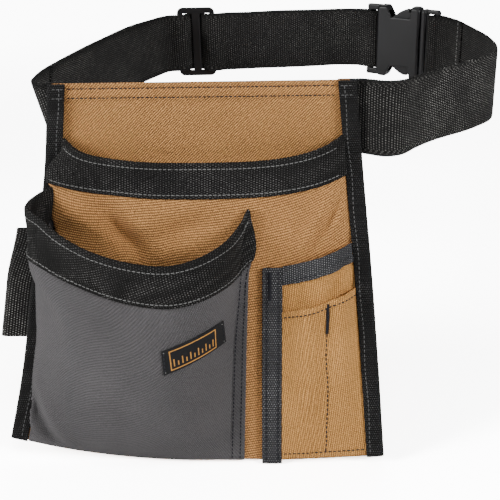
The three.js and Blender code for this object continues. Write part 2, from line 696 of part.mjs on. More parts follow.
function plate(shape, thick, bevel = 0) {
  const geometry = new THREE.ExtrudeGeometry(shape, {
    depth: thick - 2 * bevel,
    bevelEnabled: bevel > 0,
    bevelThickness: bevel,
    bevelSize: bevel,
    bevelOffset: -bevel,
    bevelSegments: 1,
    curveSegments: 3,
  });
  return geometry.translate(0, 0, bevel - thick / 2).rotateX(Math.PI / 2);
}
function post(x, height, radius) {
  return new THREE.CylinderGeometry(radius, radius, height, 10).rotateX(Math.PI / 2).translate(x, 0, 0);
}
function setOn(mesh, at, along) {
  mesh.position.set(at.x, at.y, 0);
  mesh.rotation.z = Math.atan2(along.y, along.x);
}

// Tri-glide
const slotHeight = beltWidth + 1.6;
const glide = roundedShape(-glideWidth / 2, glideWidth / 2, -glideHeight / 2, glideHeight / 2, 5);
[-1, 1].forEach((side) => {
  const near = side * glideBar / 2;
  const far = side * (glideWidth / 2 - glideSide);
  glide.holes.push(
    roundedShape(Math.min(near, far), Math.max(near, far), -slotHeight / 2, slotHeight / 2, 0.8),
  );
});
const leftLine = beltLine(leftRoute, femaleBar);
const glideAt = leftLine.at(leftLine.length - glideFromBar);
const glideAlong = leftLine.at(leftLine.length - glideFromBar + 1).sub(glideAt);
setOn(add('tri_glide', plate(glide, glideThick, 0.5), plastic), glideAt, glideAlong);

// Buckle, female half: ladder frame with its bar, and the body with a cavity and two windows
const railHeight = (buckleHeight - slotHeight) / 2;
const bodyFrom = barToBody;
const bodyTo = barToBody + buckleBody;
const windowFrom = bodyFrom + 0.27 * buckleBody;
const windowTo = bodyFrom + 0.8 * buckleBody;
const windowDeep = 10;
const cavityHeight = buckleHeight - 9;
const cavityThick = buckleThick - 4;
const box = (left, right, low, high, thick) => (
  new THREE.BoxGeometry(right - left, thick, high - low).translate((left + right) / 2, 0, (low + high) / 2)
);
const tall = buckleHeight / 2;
let female = solid(plate(roundedShape(bodyFrom, bodyTo, -tall, tall, 4), buckleThick, 1.5));
[-1, 1].forEach((side) => {
  const rail = plate(roundedShape(-buckleBar, bodyFrom + 3, 0, railHeight, 1.5), 2 * buckleBar, 0.4);
  rail.translate(0, 0, side > 0 ? tall - railHeight : -tall);
  female = female.add(solid(rail));
});
female = female.add(solid(post(0, buckleHeight - railHeight, buckleBar)));
female = female.subtract(
  solid(box(bodyFrom + 3, bodyTo + 1, -cavityHeight / 2, cavityHeight / 2, cavityThick)),
);
[-1, 1].forEach((side) => {
  const window = new THREE.Shape();
  window.moveTo(windowFrom - 3, tall + 1);
  window.lineTo(windowFrom + 3, tall - windowDeep);
  window.lineTo(windowTo - 1, tall - windowDeep);
  window.lineTo(windowTo, tall + 1);
  const cut = plate(window, buckleThick + 2);
  if (side < 0) cut.rotateX(Math.PI);
  female = female.subtract(solid(cut));
});
setOn(add('buckle_female', toGeometry(female), plastic), femaleBar, buckleAlong);

// Buckle, male half: base with its bar, two springy prongs whose lobes stand in the windows,
// and a middle tongue
const baseFrom = bodyTo + clear;
const maleAt = barToBar;
const innerTall = cavityHeight / 2 - clear;
const innerThick = cavityThick - 2 * clear;
const frame = roundedShape(baseFrom, maleAt + buckleBar, -tall + 1.5, tall - 1.5, 3);
let male = solid(plate(frame, 2 * buckleBar, 0.4));
male = male.subtract(
  solid(box(baseFrom + 4, maleAt + buckleBar + 1, -slotHeight / 2, slotHeight / 2, buckleThick)),
);
male = male.add(solid(post(maleAt, buckleHeight - railHeight - 3, buckleBar)));
male = male.add(
  solid(plate(roundedShape(baseFrom, baseFrom + 5, -tall + 1.5, tall - 1.5, 2), buckleThick - 2, 1)),
);
[-1, 1].forEach((side) => {
  const prong = new THREE.Shape();
  prong.moveTo(baseFrom + 2, innerTall - 4);
  prong.lineTo(baseFrom + 2, innerTall);
  prong.lineTo(windowTo - clear - 1.6, innerTall);
  prong.lineTo(windowTo - clear - 2.4, innerTall + 2.5);
  prong.quadraticCurveTo(windowFrom + 14, innerTall + 4, windowFrom + 5, innerTall - 3.5);
  prong.lineTo(bodyFrom + 6, innerTall - 12);
  prong.lineTo(bodyFrom + 6, innerTall - 16);
  prong.lineTo(windowFrom + 8, innerTall - 8);
  const arm = plate(prong, innerThick);
  if (side < 0) arm.rotateX(Math.PI);
  male = male.add(solid(arm));
});
male = male.add(solid(box(bodyFrom + 8, baseFrom + 2, -3.5, 3.5, innerThick)));
setOn(add('buckle_male', toGeometry(male), plastic), femaleBar, buckleAlong);

export default group;
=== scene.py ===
"""Carpenter nail apron: canvas pockets, webbing, stitching and moulded fittings, in metres."""

import math

import bpy
import numpy as np
from mathutils import Matrix, Vector


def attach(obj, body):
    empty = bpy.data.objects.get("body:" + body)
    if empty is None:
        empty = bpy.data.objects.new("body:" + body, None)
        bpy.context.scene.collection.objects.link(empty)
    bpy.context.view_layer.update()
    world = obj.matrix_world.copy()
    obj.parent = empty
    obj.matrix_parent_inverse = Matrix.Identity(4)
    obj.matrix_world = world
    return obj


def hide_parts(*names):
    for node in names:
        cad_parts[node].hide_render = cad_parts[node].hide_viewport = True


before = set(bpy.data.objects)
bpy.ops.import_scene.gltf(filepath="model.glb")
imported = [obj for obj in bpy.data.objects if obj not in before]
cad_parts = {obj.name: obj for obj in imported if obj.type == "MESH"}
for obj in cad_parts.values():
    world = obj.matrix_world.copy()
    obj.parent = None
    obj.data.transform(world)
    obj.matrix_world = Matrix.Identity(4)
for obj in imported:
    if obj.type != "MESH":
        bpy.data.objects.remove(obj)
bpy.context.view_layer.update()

# Sizes of the sewn pieces, the same as the frame's
MM = 0.001
GAP = 0.3 * MM
CANVAS = 1.1 * MM
TAPE = 1.0 * MM
WEBBING = 1.5 * MM
BELT_WIDTH = 50.8 * MM
LOOP_WIDTH = 328 * MM
LOOP_DEPTH = 270 * MM
POUCH_WIDTH = 206 * MM
POUCH_LENGTH = 263 * MM
POUCH_LEAN = math.radians(19)
LEAN_START = 35 * MM
LEAN_END = 85 * MM
CORNER_LIFT = 16 * MM
BINDING_LEG = 12 * MM
UPPER_MOUTH = 37 * MM
UPPER_DIP = 16 * MM
UPPER_DEPTH = 13 * MM
TRIM_WIDTH = 25.4 * MM
TRIM_INSIDE = 18 * MM
MAIN_MOUTH = 70 * MM
MAIN_DIP = 52 * MM
MAIN_WIDTH = 133.5 * MM
MAIN_DEPTH = 44 * MM
SEAM_STRIP = 9 * MM
SMALL_MOUTH = 128 * MM
SMALL_RISE = 17 * MM
SMALL_DEPTH = 8 * MM
SIDE_TAPE = 13 * MM
TOP_TAPE = 12.5 * MM
SEAM_SLANT = 6 * MM
STRIP_WIDTH = 6 * MM
PEN_MOUTH = 159 * MM
PEN_RISE = 18 * MM
PEN_DEPTH = 5 * MM
PEN_DIVIDER = 82 * MM
LABEL_THICK = 0.8 * MM
LOOP_STRAP = 76.2 * MM
LOOP_STRAP_TOP = 100 * MM
LOOP_REACH = 20 * MM
LOOP_HOLLOW = 7 * MM
STRAP_THICK = 1.2 * MM
FOLD_FROM = 0.3
FOLD_TO = 0.65
TAIL_LENGTH = 395 * MM
TAIL_ROUND = 12 * MM
GLIDE_FROM_BAR = 160 * MM
GLIDE_WIDTH = 34 * MM
GLIDE_THICK = 2.4 * MM
GLIDE_BAR = 7.2 * MM
GLIDE_SIDE = 4.8 * MM
BUCKLE_BODY = 41 * MM
BUCKLE_BAR = 2.2 * MM
BAR_TO_BODY = 9 * MM
BAR_TO_MALE = 15 * MM
DOUBLED = 38 * MM
LEFT_TUCK = 3.2 * MM
RIGHT_TUCK = 5 * MM
UNDER_FOLD = 1.5 * MM
STACK_RISE = 9 * MM
TAPE_SHORT = 1.8 * MM
SLIDE_SETTLE = 10 * MM
BAR_SETTLE = 16 * MM
POUCH_X = -47 * MM
POUCH_Y = -131 * MM
POUCH_TOP = BELT_WIDTH / 2

NEXT_LAYER = CANVAS + 2 * GAP
SEAM_CLEAR = CANVAS + 1.5 * GAP
FOLD_REACH = CANVAS / 2 + 1.6 * GAP + TAPE / 2
BACK_LEG = -CANVAS - GAP
LEFT_STACK = CANVAS + 3.5 * GAP
BELT_PITCH = WEBBING + 1.3 * GAP
BAR_SPREAD = BUCKLE_BAR + GAP + WEBBING / 2
SLIDE_LIFT = GLIDE_THICK / 2 + 1.5 * GAP + BELT_PITCH

# Lifts, leans and the label's place, as the photograph shows them
RIGHT_LIFT = 4.3 * MM
LEFT_LIFT_SPAN = 0.68
RIGHT_LIFT_FROM = 0.22
RIGHT_LIFT_SPAN = 0.35
MAIN_TRIM_INSIDE = 25 * MM
UPPER_LEAN = 15 * MM
MAIN_LEAN = 12.5 * MM
MAIN_LEAN_FROM = 0.3
LEAN_START_BELOW = 1 * MM
LEAN_GROWS = 22 * MM
LEAN_FADES_FROM = 120 * MM
LEAN_FADES_IN = 60 * MM
LEAN_KEPT = 0.55
LEAN_REACH = 45 * MM
BINDING_TOP = 3.6 * MM
BINDING_CLEAR = 3 * MM
SEAM_DRAWN_IN = 4 * MM
TRIM_FLARE = 4.5 * MM
FLARE_DOWN = 0.13
FLARE_WIDE = 0.08
FLARE_FROM = 0.93
LABEL_WIDTH = 39 * MM
LABEL_HEIGHT = 17 * MM
LABEL_TURN = math.radians(14)
LABEL_SLANT = math.radians(3)
LABEL_RIGHT = -7 * MM
LABEL_DOWN = 182.5 * MM

# Thread
STITCH = 3.2 * MM
STITCH_SEEN = 2.5 * MM
THREAD = 0.36 * MM
ON_CLOTH = 0.08 * MM
ON_BINDING = 0.06 * MM

# Side edges of the panel, as shares of its width, down its length
EDGE_ROWS = [
    dict(down=0, left=-0.5, right=0.495),
    dict(down=0.25, left=-0.544, right=0.524),
    dict(down=0.5, left=-0.592, right=0.551),
    dict(down=0.75, left=-0.636, right=0.573),
    dict(down=1, left=-0.702, right=0.592),
]

# The main pocket's mouth, as shares of its width, dip and depth
MOUTH_ROWS = [
    dict(across=0, right=-0.035, drop=-0.05, out=0.05),
    dict(across=0.03, right=-0.045, drop=0.01, out=0.12),
    dict(across=0.065, right=-0.09, drop=0.08, out=0.23),
    dict(across=0.12, right=-0.125, drop=0.18, out=0.43),
    dict(across=0.2, right=-0.11, drop=0.28, out=0.74),
    dict(across=0.27, right=-0.035, drop=0.4, out=0.89),
    dict(across=0.36, right=0.06, drop=0.59, out=0.94),
    dict(across=0.46, right=0.2, drop=0.79, out=0.92),
    dict(across=0.57, right=0.38, drop=0.94, out=0.88),
    dict(across=0.68, right=0.57, drop=1, out=0.84),
    dict(across=0.78, right=0.72, drop=0.92, out=0.73),
    dict(across=0.87, right=0.85, drop=0.74, out=0.5),
    dict(across=0.94, right=0.92, drop=0.54, out=0.14),
    dict(across=1, right=0.96, drop=0.33, out=0.035),
]
BELLY_ROWS = [
    dict(down=0, out=1),
    dict(down=0.25, out=0.97),
    dict(down=0.5, out=0.86),
    dict(down=0.75, out=0.66),
    dict(down=0.9, out=0.4),
    dict(down=1, out=0),
]

# The belt's two routes from above, as shares of the waist loop, and its tuck
LEFT_ROUTE = [
    dict(x=-0.326, y=-0.468),
    dict(x=-0.433, y=-0.468),
    dict(x=-0.474, y=-0.47, tuck=0.16),
    dict(x=-0.492, y=-0.457, tuck=0.24),
    dict(x=-0.496, y=-0.405, tuck=0.2),
    dict(x=-0.49, y=-0.29, tuck=0.04),
    dict(x=-0.476, y=-0.185),
    dict(x=-0.454, y=-0.081),
    dict(x=-0.433, y=0.022),
    dict(x=-0.409, y=0.126),
    dict(x=-0.366, y=0.274),
    dict(x=-0.335, y=0.359),
    dict(x=-0.308, y=0.415),
    dict(x=-0.271, y=0.444),
    dict(x=-0.171, y=0.452),
    dict(x=-0.006, y=0.467),
    dict(x=0.125, y=0.485),
    dict(x=0.18, y=0.489),
    dict(x=0.223, y=0.481),
    dict(x=0.253, y=0.463),
]
RIGHT_ROUTE = [
    dict(x=-0.021, y=-0.468),
    dict(x=0.131, y=-0.468),
    dict(x=0.171, y=-0.466),
    dict(x=0.198, y=-0.483),
    dict(x=0.229, y=-0.5),
    dict(x=0.259, y=-0.489),
    dict(x=0.293, y=-0.439),
    dict(x=0.338, y=-0.381),
    dict(x=0.43, y=-0.278),
    dict(x=0.485, y=-0.196),
    dict(x=0.5, y=-0.122),
    dict(x=0.5, y=-0.041),
    dict(x=0.494, y=0.056),
    dict(x=0.476, y=0.189),
    dict(x=0.457, y=0.278),
    dict(x=0.43, y=0.333),
]

# Folds and dents of the cloth in millimetres: right and down of the pouch, how long and
# wide, how far out, and turned in degrees from level, up to the right
UPPER_FOLDS = [
    dict(right=-57, down=102, long=20, wide=6.5, out=-8, turn=-49),
    dict(right=-80, down=92, long=13, wide=9, out=4, turn=-30),
    dict(right=-42, down=98, long=20, wide=8, out=4, turn=-42),
    dict(right=-14, down=101, long=26, wide=8, out=-4.2, turn=14),
    dict(right=12, down=96, long=18, wide=8, out=1.8, turn=30),
    dict(right=76, down=94, long=17, wide=3.4, out=2.6, turn=60),
    dict(right=83, down=98, long=19, wide=3.2, out=-2.2, turn=60),
    dict(right=90, down=93, long=15, wide=2.8, out=2, turn=64),
    dict(right=64, down=103, long=19, wide=4.5, out=-1.6, turn=46),
    dict(right=47, down=108, long=18, wide=7, out=0.8, turn=16),
]
MAIN_FOLDS = [
    dict(right=-107, down=226, long=30, wide=5, out=4.2, turn=-63),
    dict(right=-117, down=231, long=28, wide=6, out=-7.5, turn=-63),
    dict(right=-98, down=190, long=30, wide=10, out=1.4, turn=-76),
    dict(right=-70, down=170, long=46, wide=13, out=0.7, turn=26),
    dict(right=-44, down=188, long=50, wide=12, out=-0.7, turn=24),
    dict(right=4, down=155, long=26, wide=9, out=-0.8, turn=62),
    dict(right=-30, down=232, long=44, wide=10, out=0.7, turn=6),
]
SMALL_FOLDS = [
    dict(right=58, down=147, long=12, wide=2.2, out=0.9, turn=76),
    dict(right=63, down=146, long=12, wide=2.2, out=-0.9, turn=78),
    dict(right=92, down=138, long=18, wide=2.6, out=1.4, turn=70),
    dict(right=86, down=139, long=17, wide=2.4, out=-1.2, turn=70),
    dict(right=79, down=140, long=15, wide=2.6, out=1.1, turn=74),
]
PEN_FOLDS = [
    dict(right=76, down=178, long=9, wide=2, out=0.5, turn=-24),
    dict(right=88, down=186, long=9, wide=2, out=0.5, turn=22),
    dict(right=76, down=202, long=9, wide=2, out=-0.5, turn=-18),
    dict(right=88, down=212, long=9, wide=2, out=-0.5, turn=20),
    dict(right=70, down=222, long=12, wide=2.4, out=0.5, turn=-62),
    dict(right=97, down=226, long=12, wide=2.4, out=0.5, turn=64),
]


def mix(a, b, share):
    return a + (b - a) * share


def smooth(value):
    share = np.clip(value, 0, 1)
    return share * share * (3 - 2 * share)


def hill(distance, width):
    return np.exp(-(distance / width) ** 2)


def unit(vectors):
    return vectors / np.maximum(np.linalg.norm(vectors, axis=-1, keepdims=True), 1e-12)


def lengths_along(points):
    """The length of the way from the first point to each."""
    return np.concatenate([[0], np.cumsum(np.linalg.norm(np.diff(points, axis=0), axis=1))])


def points_at(where, lengths, points):
    return np.stack([np.interp(where, lengths, points[:, k]) for k in range(3)], -1)


def read(rows, by, column, at):
    """A smooth value from a table's column, by the column that orders its rows."""
    knots = np.array([row[by] for row in rows], float)
    values = np.array([row[column] for row in rows], float)
    order = np.arange(len(rows))
    low = np.maximum(order - 1, 0)
    high = np.minimum(order + 1, len(rows) - 1)
    slopes = (values[high] - values[low]) / (knots[high] - knots[low])
    row = np.clip(np.searchsorted(knots, at) - 1, 0, len(rows) - 2)
    span = knots[row + 1] - knots[row]
    t = np.clip((at - knots[row]) / span, 0, 1)
    start = (1 + 2 * t) * (1 - t) ** 2 * values[row] + t * (1 - t) ** 2 * span * slopes[row]
    end = t * t * (3 - 2 * t) * values[row + 1] + t * t * (t - 1) * span * slopes[row + 1]
    return start + end


def folds(rows, right, down):
    """How far the cloth stands out at its folds and dents."""
    out = 0
    for row in rows:
        turn = math.radians(row["turn"])
        x = (right - row["right"] * MM) * math.cos(turn) - (down - row["down"] * MM) * math.sin(turn)
        y = (right - row["right"] * MM) * math.sin(turn) + (down - row["down"] * MM) * math.cos(turn)
        out = out + row["out"] * MM * hill(x, row["long"] * MM) * hill(y, row["wide"] * MM)
    return out


# The panel's face: it hangs straight from the belt and then leans out
FACE_STEP = 1 * MM
face_down = np.arange(0, 1.2 * POUCH_LENGTH, FACE_STEP)
face_lean = POUCH_LEAN * smooth((face_down - LEAN_START) / (LEAN_END - LEAN_START))
face_y = -np.cumsum(np.sin(face_lean)) * FACE_STEP
face_z = (1 - np.cumsum(np.cos(face_lean))) * FACE_STEP


def pouch(right, down, out):
    """A point of the pouch: right of its middle, down from the hem, out from its face."""
    lean = np.interp(down, face_down, face_lean)
    y = POUCH_Y + np.interp(down, face_down, face_y) - out * np.cos(lean)
    z = POUCH_TOP + np.interp(down, face_down, face_z) - np.minimum(down, 0) + out * np.sin(lean)
    return np.stack(np.broadcast_arrays(POUCH_X + right, y, z), -1)


def left_edge(down):
    return POUCH_WIDTH * read(EDGE_ROWS, "down", "left", down / POUCH_LENGTH)


def right_edge(down):
    return POUCH_WIDTH * read(EDGE_ROWS, "down", "right", down / POUCH_LENGTH)


def bottom_line(right):
    """How far down the foot of the pouch lies: it rises to both corners."""
    to_left = np.clip(-right / (LEFT_LIFT_SPAN * POUCH_WIDTH), 0, 1)
    past = right - RIGHT_LIFT_FROM * POUCH_WIDTH
    to_right = np.clip(past / (RIGHT_LIFT_SPAN * POUCH_WIDTH), 0, 1)
    return POUCH_LENGTH - CORNER_LIFT * to_left ** 2 - RIGHT_LIFT * to_right ** 1.2


def left_side(down):
    return left_edge(down) + LEFT_TUCK


def right_side(down):
    return right_edge(down) - RIGHT_TUCK


def dome_left(down):
    return left_edge(down) + BINDING_LEG + GAP


def dome_right(down):
    return right_edge(down) - BINDING_LEG - GAP


def fallen(down, mouth_line, mouth):
    """The share of the way from a pocket's mouth to its foot."""
    return np.clip((down - mouth_line) / (POUCH_LENGTH - mouth), 0, 1)


def upper_across(right, down):
    left, end = dome_left(down), dome_right(down)
    return np.clip((2 * right - left - end) / (end - left), -1, 1)


def upper_out(right, down):
    steep = mix(8, 4, smooth((down - UPPER_MOUTH - TRIM_WIDTH) / TRIM_WIDTH))
    dome = 1 - np.abs(upper_across(right, down)) ** steep
    fall = fallen(down, UPPER_MOUTH, UPPER_MOUTH)
    return 2 * GAP + UPPER_DEPTH * dome * (1 - fall ** 2.2)


def lean_over(right, down, out, seam, lean):
    """Where the fullness of a pocket leans to the left, over the side binding."""
    reach = lean * smooth((down - UPPER_MOUTH - LEAN_START_BELOW) / LEAN_GROWS)
    reach = reach * mix(1, LEAN_KEPT, smooth((down - LEAN_FADES_FROM) / LEAN_FADES_IN))
    clear = smooth((out - BINDING_TOP) / BINDING_CLEAR)
    past = right - seam
    near = smooth(1 - past / LEAN_REACH) * np.clip(1 + past / (1.2 * lean), 0, 1)
    return right - reach * clear * near


def upper_mouth_line(right):
    ends = np.abs(upper_across(right, UPPER_MOUTH))
    return UPPER_MOUTH + UPPER_DIP * (1 - ends ** 3)


MAIN_LEFT = left_edge(MAIN_MOUTH) + BINDING_LEG + SEAM_CLEAR
MAIN_SEAM = MAIN_LEFT + MAIN_WIDTH


def main_place(across, share):
    """Right, down and out of the main pocket's wall."""
    mouth_down = MAIN_MOUTH + MAIN_DIP * read(MOUTH_ROWS, "across", "drop", across)
    mouth_right = MAIN_LEFT + MAIN_WIDTH * read(MOUTH_ROWS, "across", "right", across)
    body_end = mix(MAIN_SEAM, MAIN_SEAM - SEAM_SLANT, share) - SEAM_DRAWN_IN
    guess = mix(left_edge(POUCH_LENGTH), body_end, across)
    body_down = mix(mouth_down, bottom_line(guess), share)
    body_right = mix(left_edge(body_down) + BINDING_LEG + SEAM_CLEAR, body_end, across)
    flat = smooth(share / 0.55)
    at_end = smooth((across - FLARE_FROM) / (1 - FLARE_FROM))
    flare = TRIM_FLARE * hill(share - FLARE_DOWN, FLARE_WIDE) * at_end
    right = mix(mouth_right, body_right, flat) + flare
    down = mix(mouth_down, bottom_line(body_right), share)
    strip = 1 - SEAM_STRIP / MAIN_WIDTH
    dome = np.where(across > strip, 0, 1 - np.abs(2 * across / strip - 1) ** 2.6)
    mouth_out = read(MOUTH_ROWS, "across", "out", across)
    swell = MAIN_DEPTH * mix(mouth_out, dome, flat) * read(BELLY_ROWS, "down", "out", share)
    out = upper_out(right, down) + NEXT_LAYER + np.maximum(0, swell)
    seam = left_edge(down) + BINDING_LEG + SEAM_CLEAR
    leaned = lean_over(right, down, out, seam, MAIN_LEAN)
    return mix(right, leaned, smooth(share / MAIN_LEAN_FROM)), down, out


def main_point(across, share):
    right, down, out = main_place(across, share)
    inside = smooth(across / 0.06) * smooth((0.93 - across) / 0.1) * smooth((1 - share) / 0.06)
    return pouch(right, down, out + inside * folds(MAIN_FOLDS, right, down))


def small_left(down):
    return MAIN_SEAM + STRIP_WIDTH - 0.5 * SEAM_SLANT * np.clip(down / POUCH_LENGTH, 0, 1)


def tape_right(down):
    return small_left(down) + SIDE_TAPE


def right_leg(down):
    return right_edge(down) - BINDING_LEG


def small_across(right, down):
    return np.clip((right - small_left(down)) / (right_leg(down) - small_left(down)), 0, 1)


def small_mouth_line(right):
    return SMALL_MOUTH - SMALL_RISE * small_across(right, SMALL_MOUTH) ** 1.7


def pen_mouth_line(right):
    return PEN_MOUTH - PEN_RISE * small_across(right, PEN_MOUTH) ** 1.7


def small_out(right, down):
    across = np.clip((right - tape_right(down)) / (right_leg(down) - tape_right(down)), 0, 1)
    fall = fallen(down, small_mouth_line(right), SMALL_MOUTH)
    swell = SMALL_DEPTH * np.sin(np.pi * across) ** 2
    return upper_out(right, down) + NEXT_LAYER + swell * (1 - fall ** 1.5)


def pen_out(right, down):
    left, end = tape_right(down), right_leg(down)
    across = np.where(
        right < PEN_DIVIDER,
        (right - left) / (PEN_DIVIDER - left),
        (end - right) / (end - PEN_DIVIDER),
    )
    swell = np.sin(np.pi * np.clip(across, 0, 1)) ** 2
    fall = fallen(down, pen_mouth_line(right), PEN_MOUTH)
    return small_out(right, down) + NEXT_LAYER + PEN_DEPTH * swell * (1 - fall ** 1.5)


class Shade:
    """A value or colour on its way through a finish. Sums on values add Math nodes."""

    def __init__(self, finish, socket):
        self.finish = finish
        self.socket = socket

    def other(self, output):
        return Shade(self.finish, self.socket.node.outputs[output])

    def math(self, operation, *values):
        return self.finish.node("Math", {"operation": operation}, dict(enumerate(values)))

    def __add__(self, value):
        return self.math("ADD", self, value)

    def __radd__(self, value):
        return self.math("ADD", value, self)

    def __sub__(self, value):
        return self.math("SUBTRACT", self, value)

    def __rsub__(self, value):
        return self.math("SUBTRACT", value, self)

    def __mul__(self, value):
        return self.math("MULTIPLY", self, value)

    def __rmul__(self, value):
        return self.math("MULTIPLY", value, self)

    def __truediv__(self, value):
        return self.math("DIVIDE", self, value)

    def __pow__(self, value):
        return self.math("POWER", self, value)

    def wave(self):
        """A smooth wave from 0 to 1, once for each whole step of the value."""
        return (self * math.tau).math("SINE", self * math.tau) * 0.5 + 0.5

    def span(self):
        """How long a vector is."""
        return self.finish.node("VectorMath", {"operation": "LENGTH"}, {0: self}, 1)

    def whole(self):
        return self.math("FLOOR", self)

    def part(self):
        return self.math("FRACT", self)

    def size(self):
        return self.math("ABSOLUTE", self)

    def over(self, low, high):
        """0 below low, 1 above high and smooth between them."""
        ends = {"Value": self, "From Min": low, "From Max": high}
        return self.finish.node("MapRange", {"interpolation_type": "SMOOTHSTEP"}, ends)


class Nodes:
    """The nodes of one finish or of the studio."""

    def __init__(self, tree):
        self.tree = tree

    def put(self, socket, value):
        if isinstance(value, Shade):
            self.tree.links.new(value.socket, socket)
        elif socket.type == "RGBA":
            socket.default_value = (*value, 1)
        else:
            socket.default_value = value

    def node(self, kind, settings, sockets, output=0):
        node = self.tree.nodes.new("ShaderNode" + kind)
        for name, value in settings.items():
            setattr(node, name, value)
        for name, value in sockets.items():
            self.put(node.inputs[name], value)
        return Shade(self, node.outputs[output])


class Finish(Nodes):
    """One finish: a principled shader and the nodes that lead to it."""

    def __init__(self, name):
        self.material = bpy.data.materials.new(name)
        self.material.use_nodes = True
        super().__init__(self.material.node_tree)
        self.shader = self.tree.nodes["Principled BSDF"]

    def surface(self, **sockets):
        for name, value in sockets.items():
            self.put(self.shader.inputs[name.replace("_", " ")], value)
        return self.material

    def flat(self):
        """The place on the flat cloth: along and across, in metres."""
        place = self.node("UVMap", {"uv_map": "flat"}, {})
        along = self.node("SeparateXYZ", {}, {0: place})
        return along, along.other(1), place

    def cloud(self, place, size, detail=2.0, rough=0.5):
        sockets = {"Vector": place, "Scale": 1 / size, "Detail": detail, "Roughness": rough}
        return self.node("TexNoise", {}, sockets)

    def blend(self, share, first, second):
        return self.node("Mix", {"data_type": "RGBA"}, {0: share, 6: first, 7: second}, 2)

    def relief(self, height, depth, strength=1.0):
        return self.node("Bump", {}, {"Strength": strength, "Distance": depth, "Height": height})

    def place(self):
        return self.node("TexCoord", {}, {}, 3)


def canvas(name, colour, dark, turn, pitch, contrast):
    """Woven canvas whose ribs are turned from level, with single threads across them."""
    finish = Finish(name)
    along, across, place = finish.flat()
    sway = finish.cloud(place, 9 * MM) * (0.5 * MM)
    lean = math.radians(turn)
    over_ribs = along * math.sin(lean) + across * math.cos(lean) + sway
    on_ribs = along * math.cos(lean) - across * math.sin(lean)
    rib = over_ribs / pitch
    step = rib.whole() * 0.5
    thread = (on_ribs / (0.9 * pitch) + step).wave()
    ridge = rib.wave() * (thread * 0.75 + 0.25)
    fleck = finish.cloud(place, 0.7 * MM, 1)
    slub = finish.cloud(place, 1.6 * MM, 1)
    tone = finish.cloud(finish.place(), 45 * MM, 3)
    fine = (fleck - 0.5) * 0.6 + (slub - 0.5) * 0.7 * contrast
    share = (ridge - 0.3) * contrast + fine + (tone - 0.5) * 0.5 + 0.5
    shown = finish.blend(share.over(0, 1), dark, colour)
    return finish.surface(
        Base_Color=shown,
        Roughness=0.95 - ridge * 0.18,
        Normal=finish.relief(ridge + fleck * 0.5, 0.5 * MM, 1),
        Sheen_Weight=0.04,
        Sheen_Roughness=0.4,
        Specular_IOR_Level=0.25,
    )


def webbing(name, colour, highlight_colour, pitch, grain, dots):
    """Ribbed webbing: thick threads across the strap, staggered from rib to rib, with painted highlights on
    the rib tops that are brighter towards the front (-y) than on the rear of the loop.
    """
    finish = Finish(name)
    along, across, place = finish.flat()
    rib = along / pitch + finish.cloud(place, 12 * MM) * 0.25
    step = rib.whole() * 0.5
    column = (rib - 0.25).wave()
    bead = (across / grain + step).wave()
    lump = column * (bead * 0.8 + 0.2)
    # Painted highlights: the light flecks on the rib tops stand in for light caught by the threads, thinned
    # out in random patches
    patches = finish.cloud(finish.place(), 28 * MM, 2).over(0.36, 0.66)
    fleck = finish.cloud(place, 1.2 * MM, 1).over(0.3, 0.75)
    # Painted light: the highlights grow brighter towards the front (-y) and fainter on the rear of the loop,
    # which lies in shade
    depth = finish.node("SeparateXYZ", {}, {0: finish.place()}, 1)
    front = (0.02 - depth).over(0, 0.12) * 0.6 + 0.4
    painted_highlight = lump.over(0.4, 0.9) * (fleck * 0.8 + 0.2) * (patches * dots + (1 - dots)) * front
    shown = finish.blend(painted_highlight, colour, highlight_colour)
    return finish.surface(
        Base_Color=shown,
        Roughness=0.9 - lump * 0.25,
        Normal=finish.relief(lump, 0.7 * MM, 1),
        Specular_IOR_Level=0.2,
    )


def plain(name, colour, rough, depth):
    """Thread and moulded plastic: one colour with a fine grain."""
    finish = Finish(name)
    grain = finish.cloud(finish.place(), 0.9 * MM, 3)
    tone = finish.cloud(finish.place(), 14 * MM, 2)
    return finish.surface(
        Base_Color=finish.blend(tone, [0.75 * c for c in colour], colour),
        Roughness=rough + (grain - 0.5) * 0.16,
        Normal=finish.relief(grain, depth, 0.5),
        Specular_IOR_Level=0.35,
    )


def patch(name, ground, line):
    """The sewn patch: fine woven rows, a border line and the ticks of a rule."""
    finish = Finish(name)
    along, across, place = finish.flat()
    rows = (across / (0.5 * MM)).wave()
    fleck = finish.cloud(place, 0.4 * MM, 1)
    from_end = LABEL_WIDTH / 2 - along.size()
    from_side = LABEL_HEIGHT / 2 - (across - LABEL_HEIGHT / 2).size()
    inset = from_end.math("MINIMUM", from_end, from_side)
    border = 1 - ((inset - 2.1 * MM).size()).over(0.25 * MM, 0.5 * MM)
    tick = along / (3 * MM) + 0.5
    near = 1 - ((tick.part() - 0.5).size()).over(0.1, 0.17)
    tall = (tick.whole() * 0.5).part().over(0.1, 0.4) * (2 * MM) + 3 * MM
    low = (across - LABEL_HEIGHT + 4.2 * MM + tall).over(0, 0.3 * MM)
    stop = 1 - (across - LABEL_HEIGHT + 4.2 * MM).over(0, 0.3 * MM)
    inside = inset.over(3.4 * MM, 3.8 * MM)
    ticks = near * low * stop * inside
    drawn = border.math("MAXIMUM", border, ticks)
    shown = finish.blend(drawn * (fleck * 0.5 + 0.6), ground, line)
    return finish.surface(
        Base_Color=shown,
        Roughness=0.8,
        Normal=finish.relief(rows + drawn * 0.6, 0.15 * MM, 0.7),
        Specular_IOR_Level=0.3,
    )


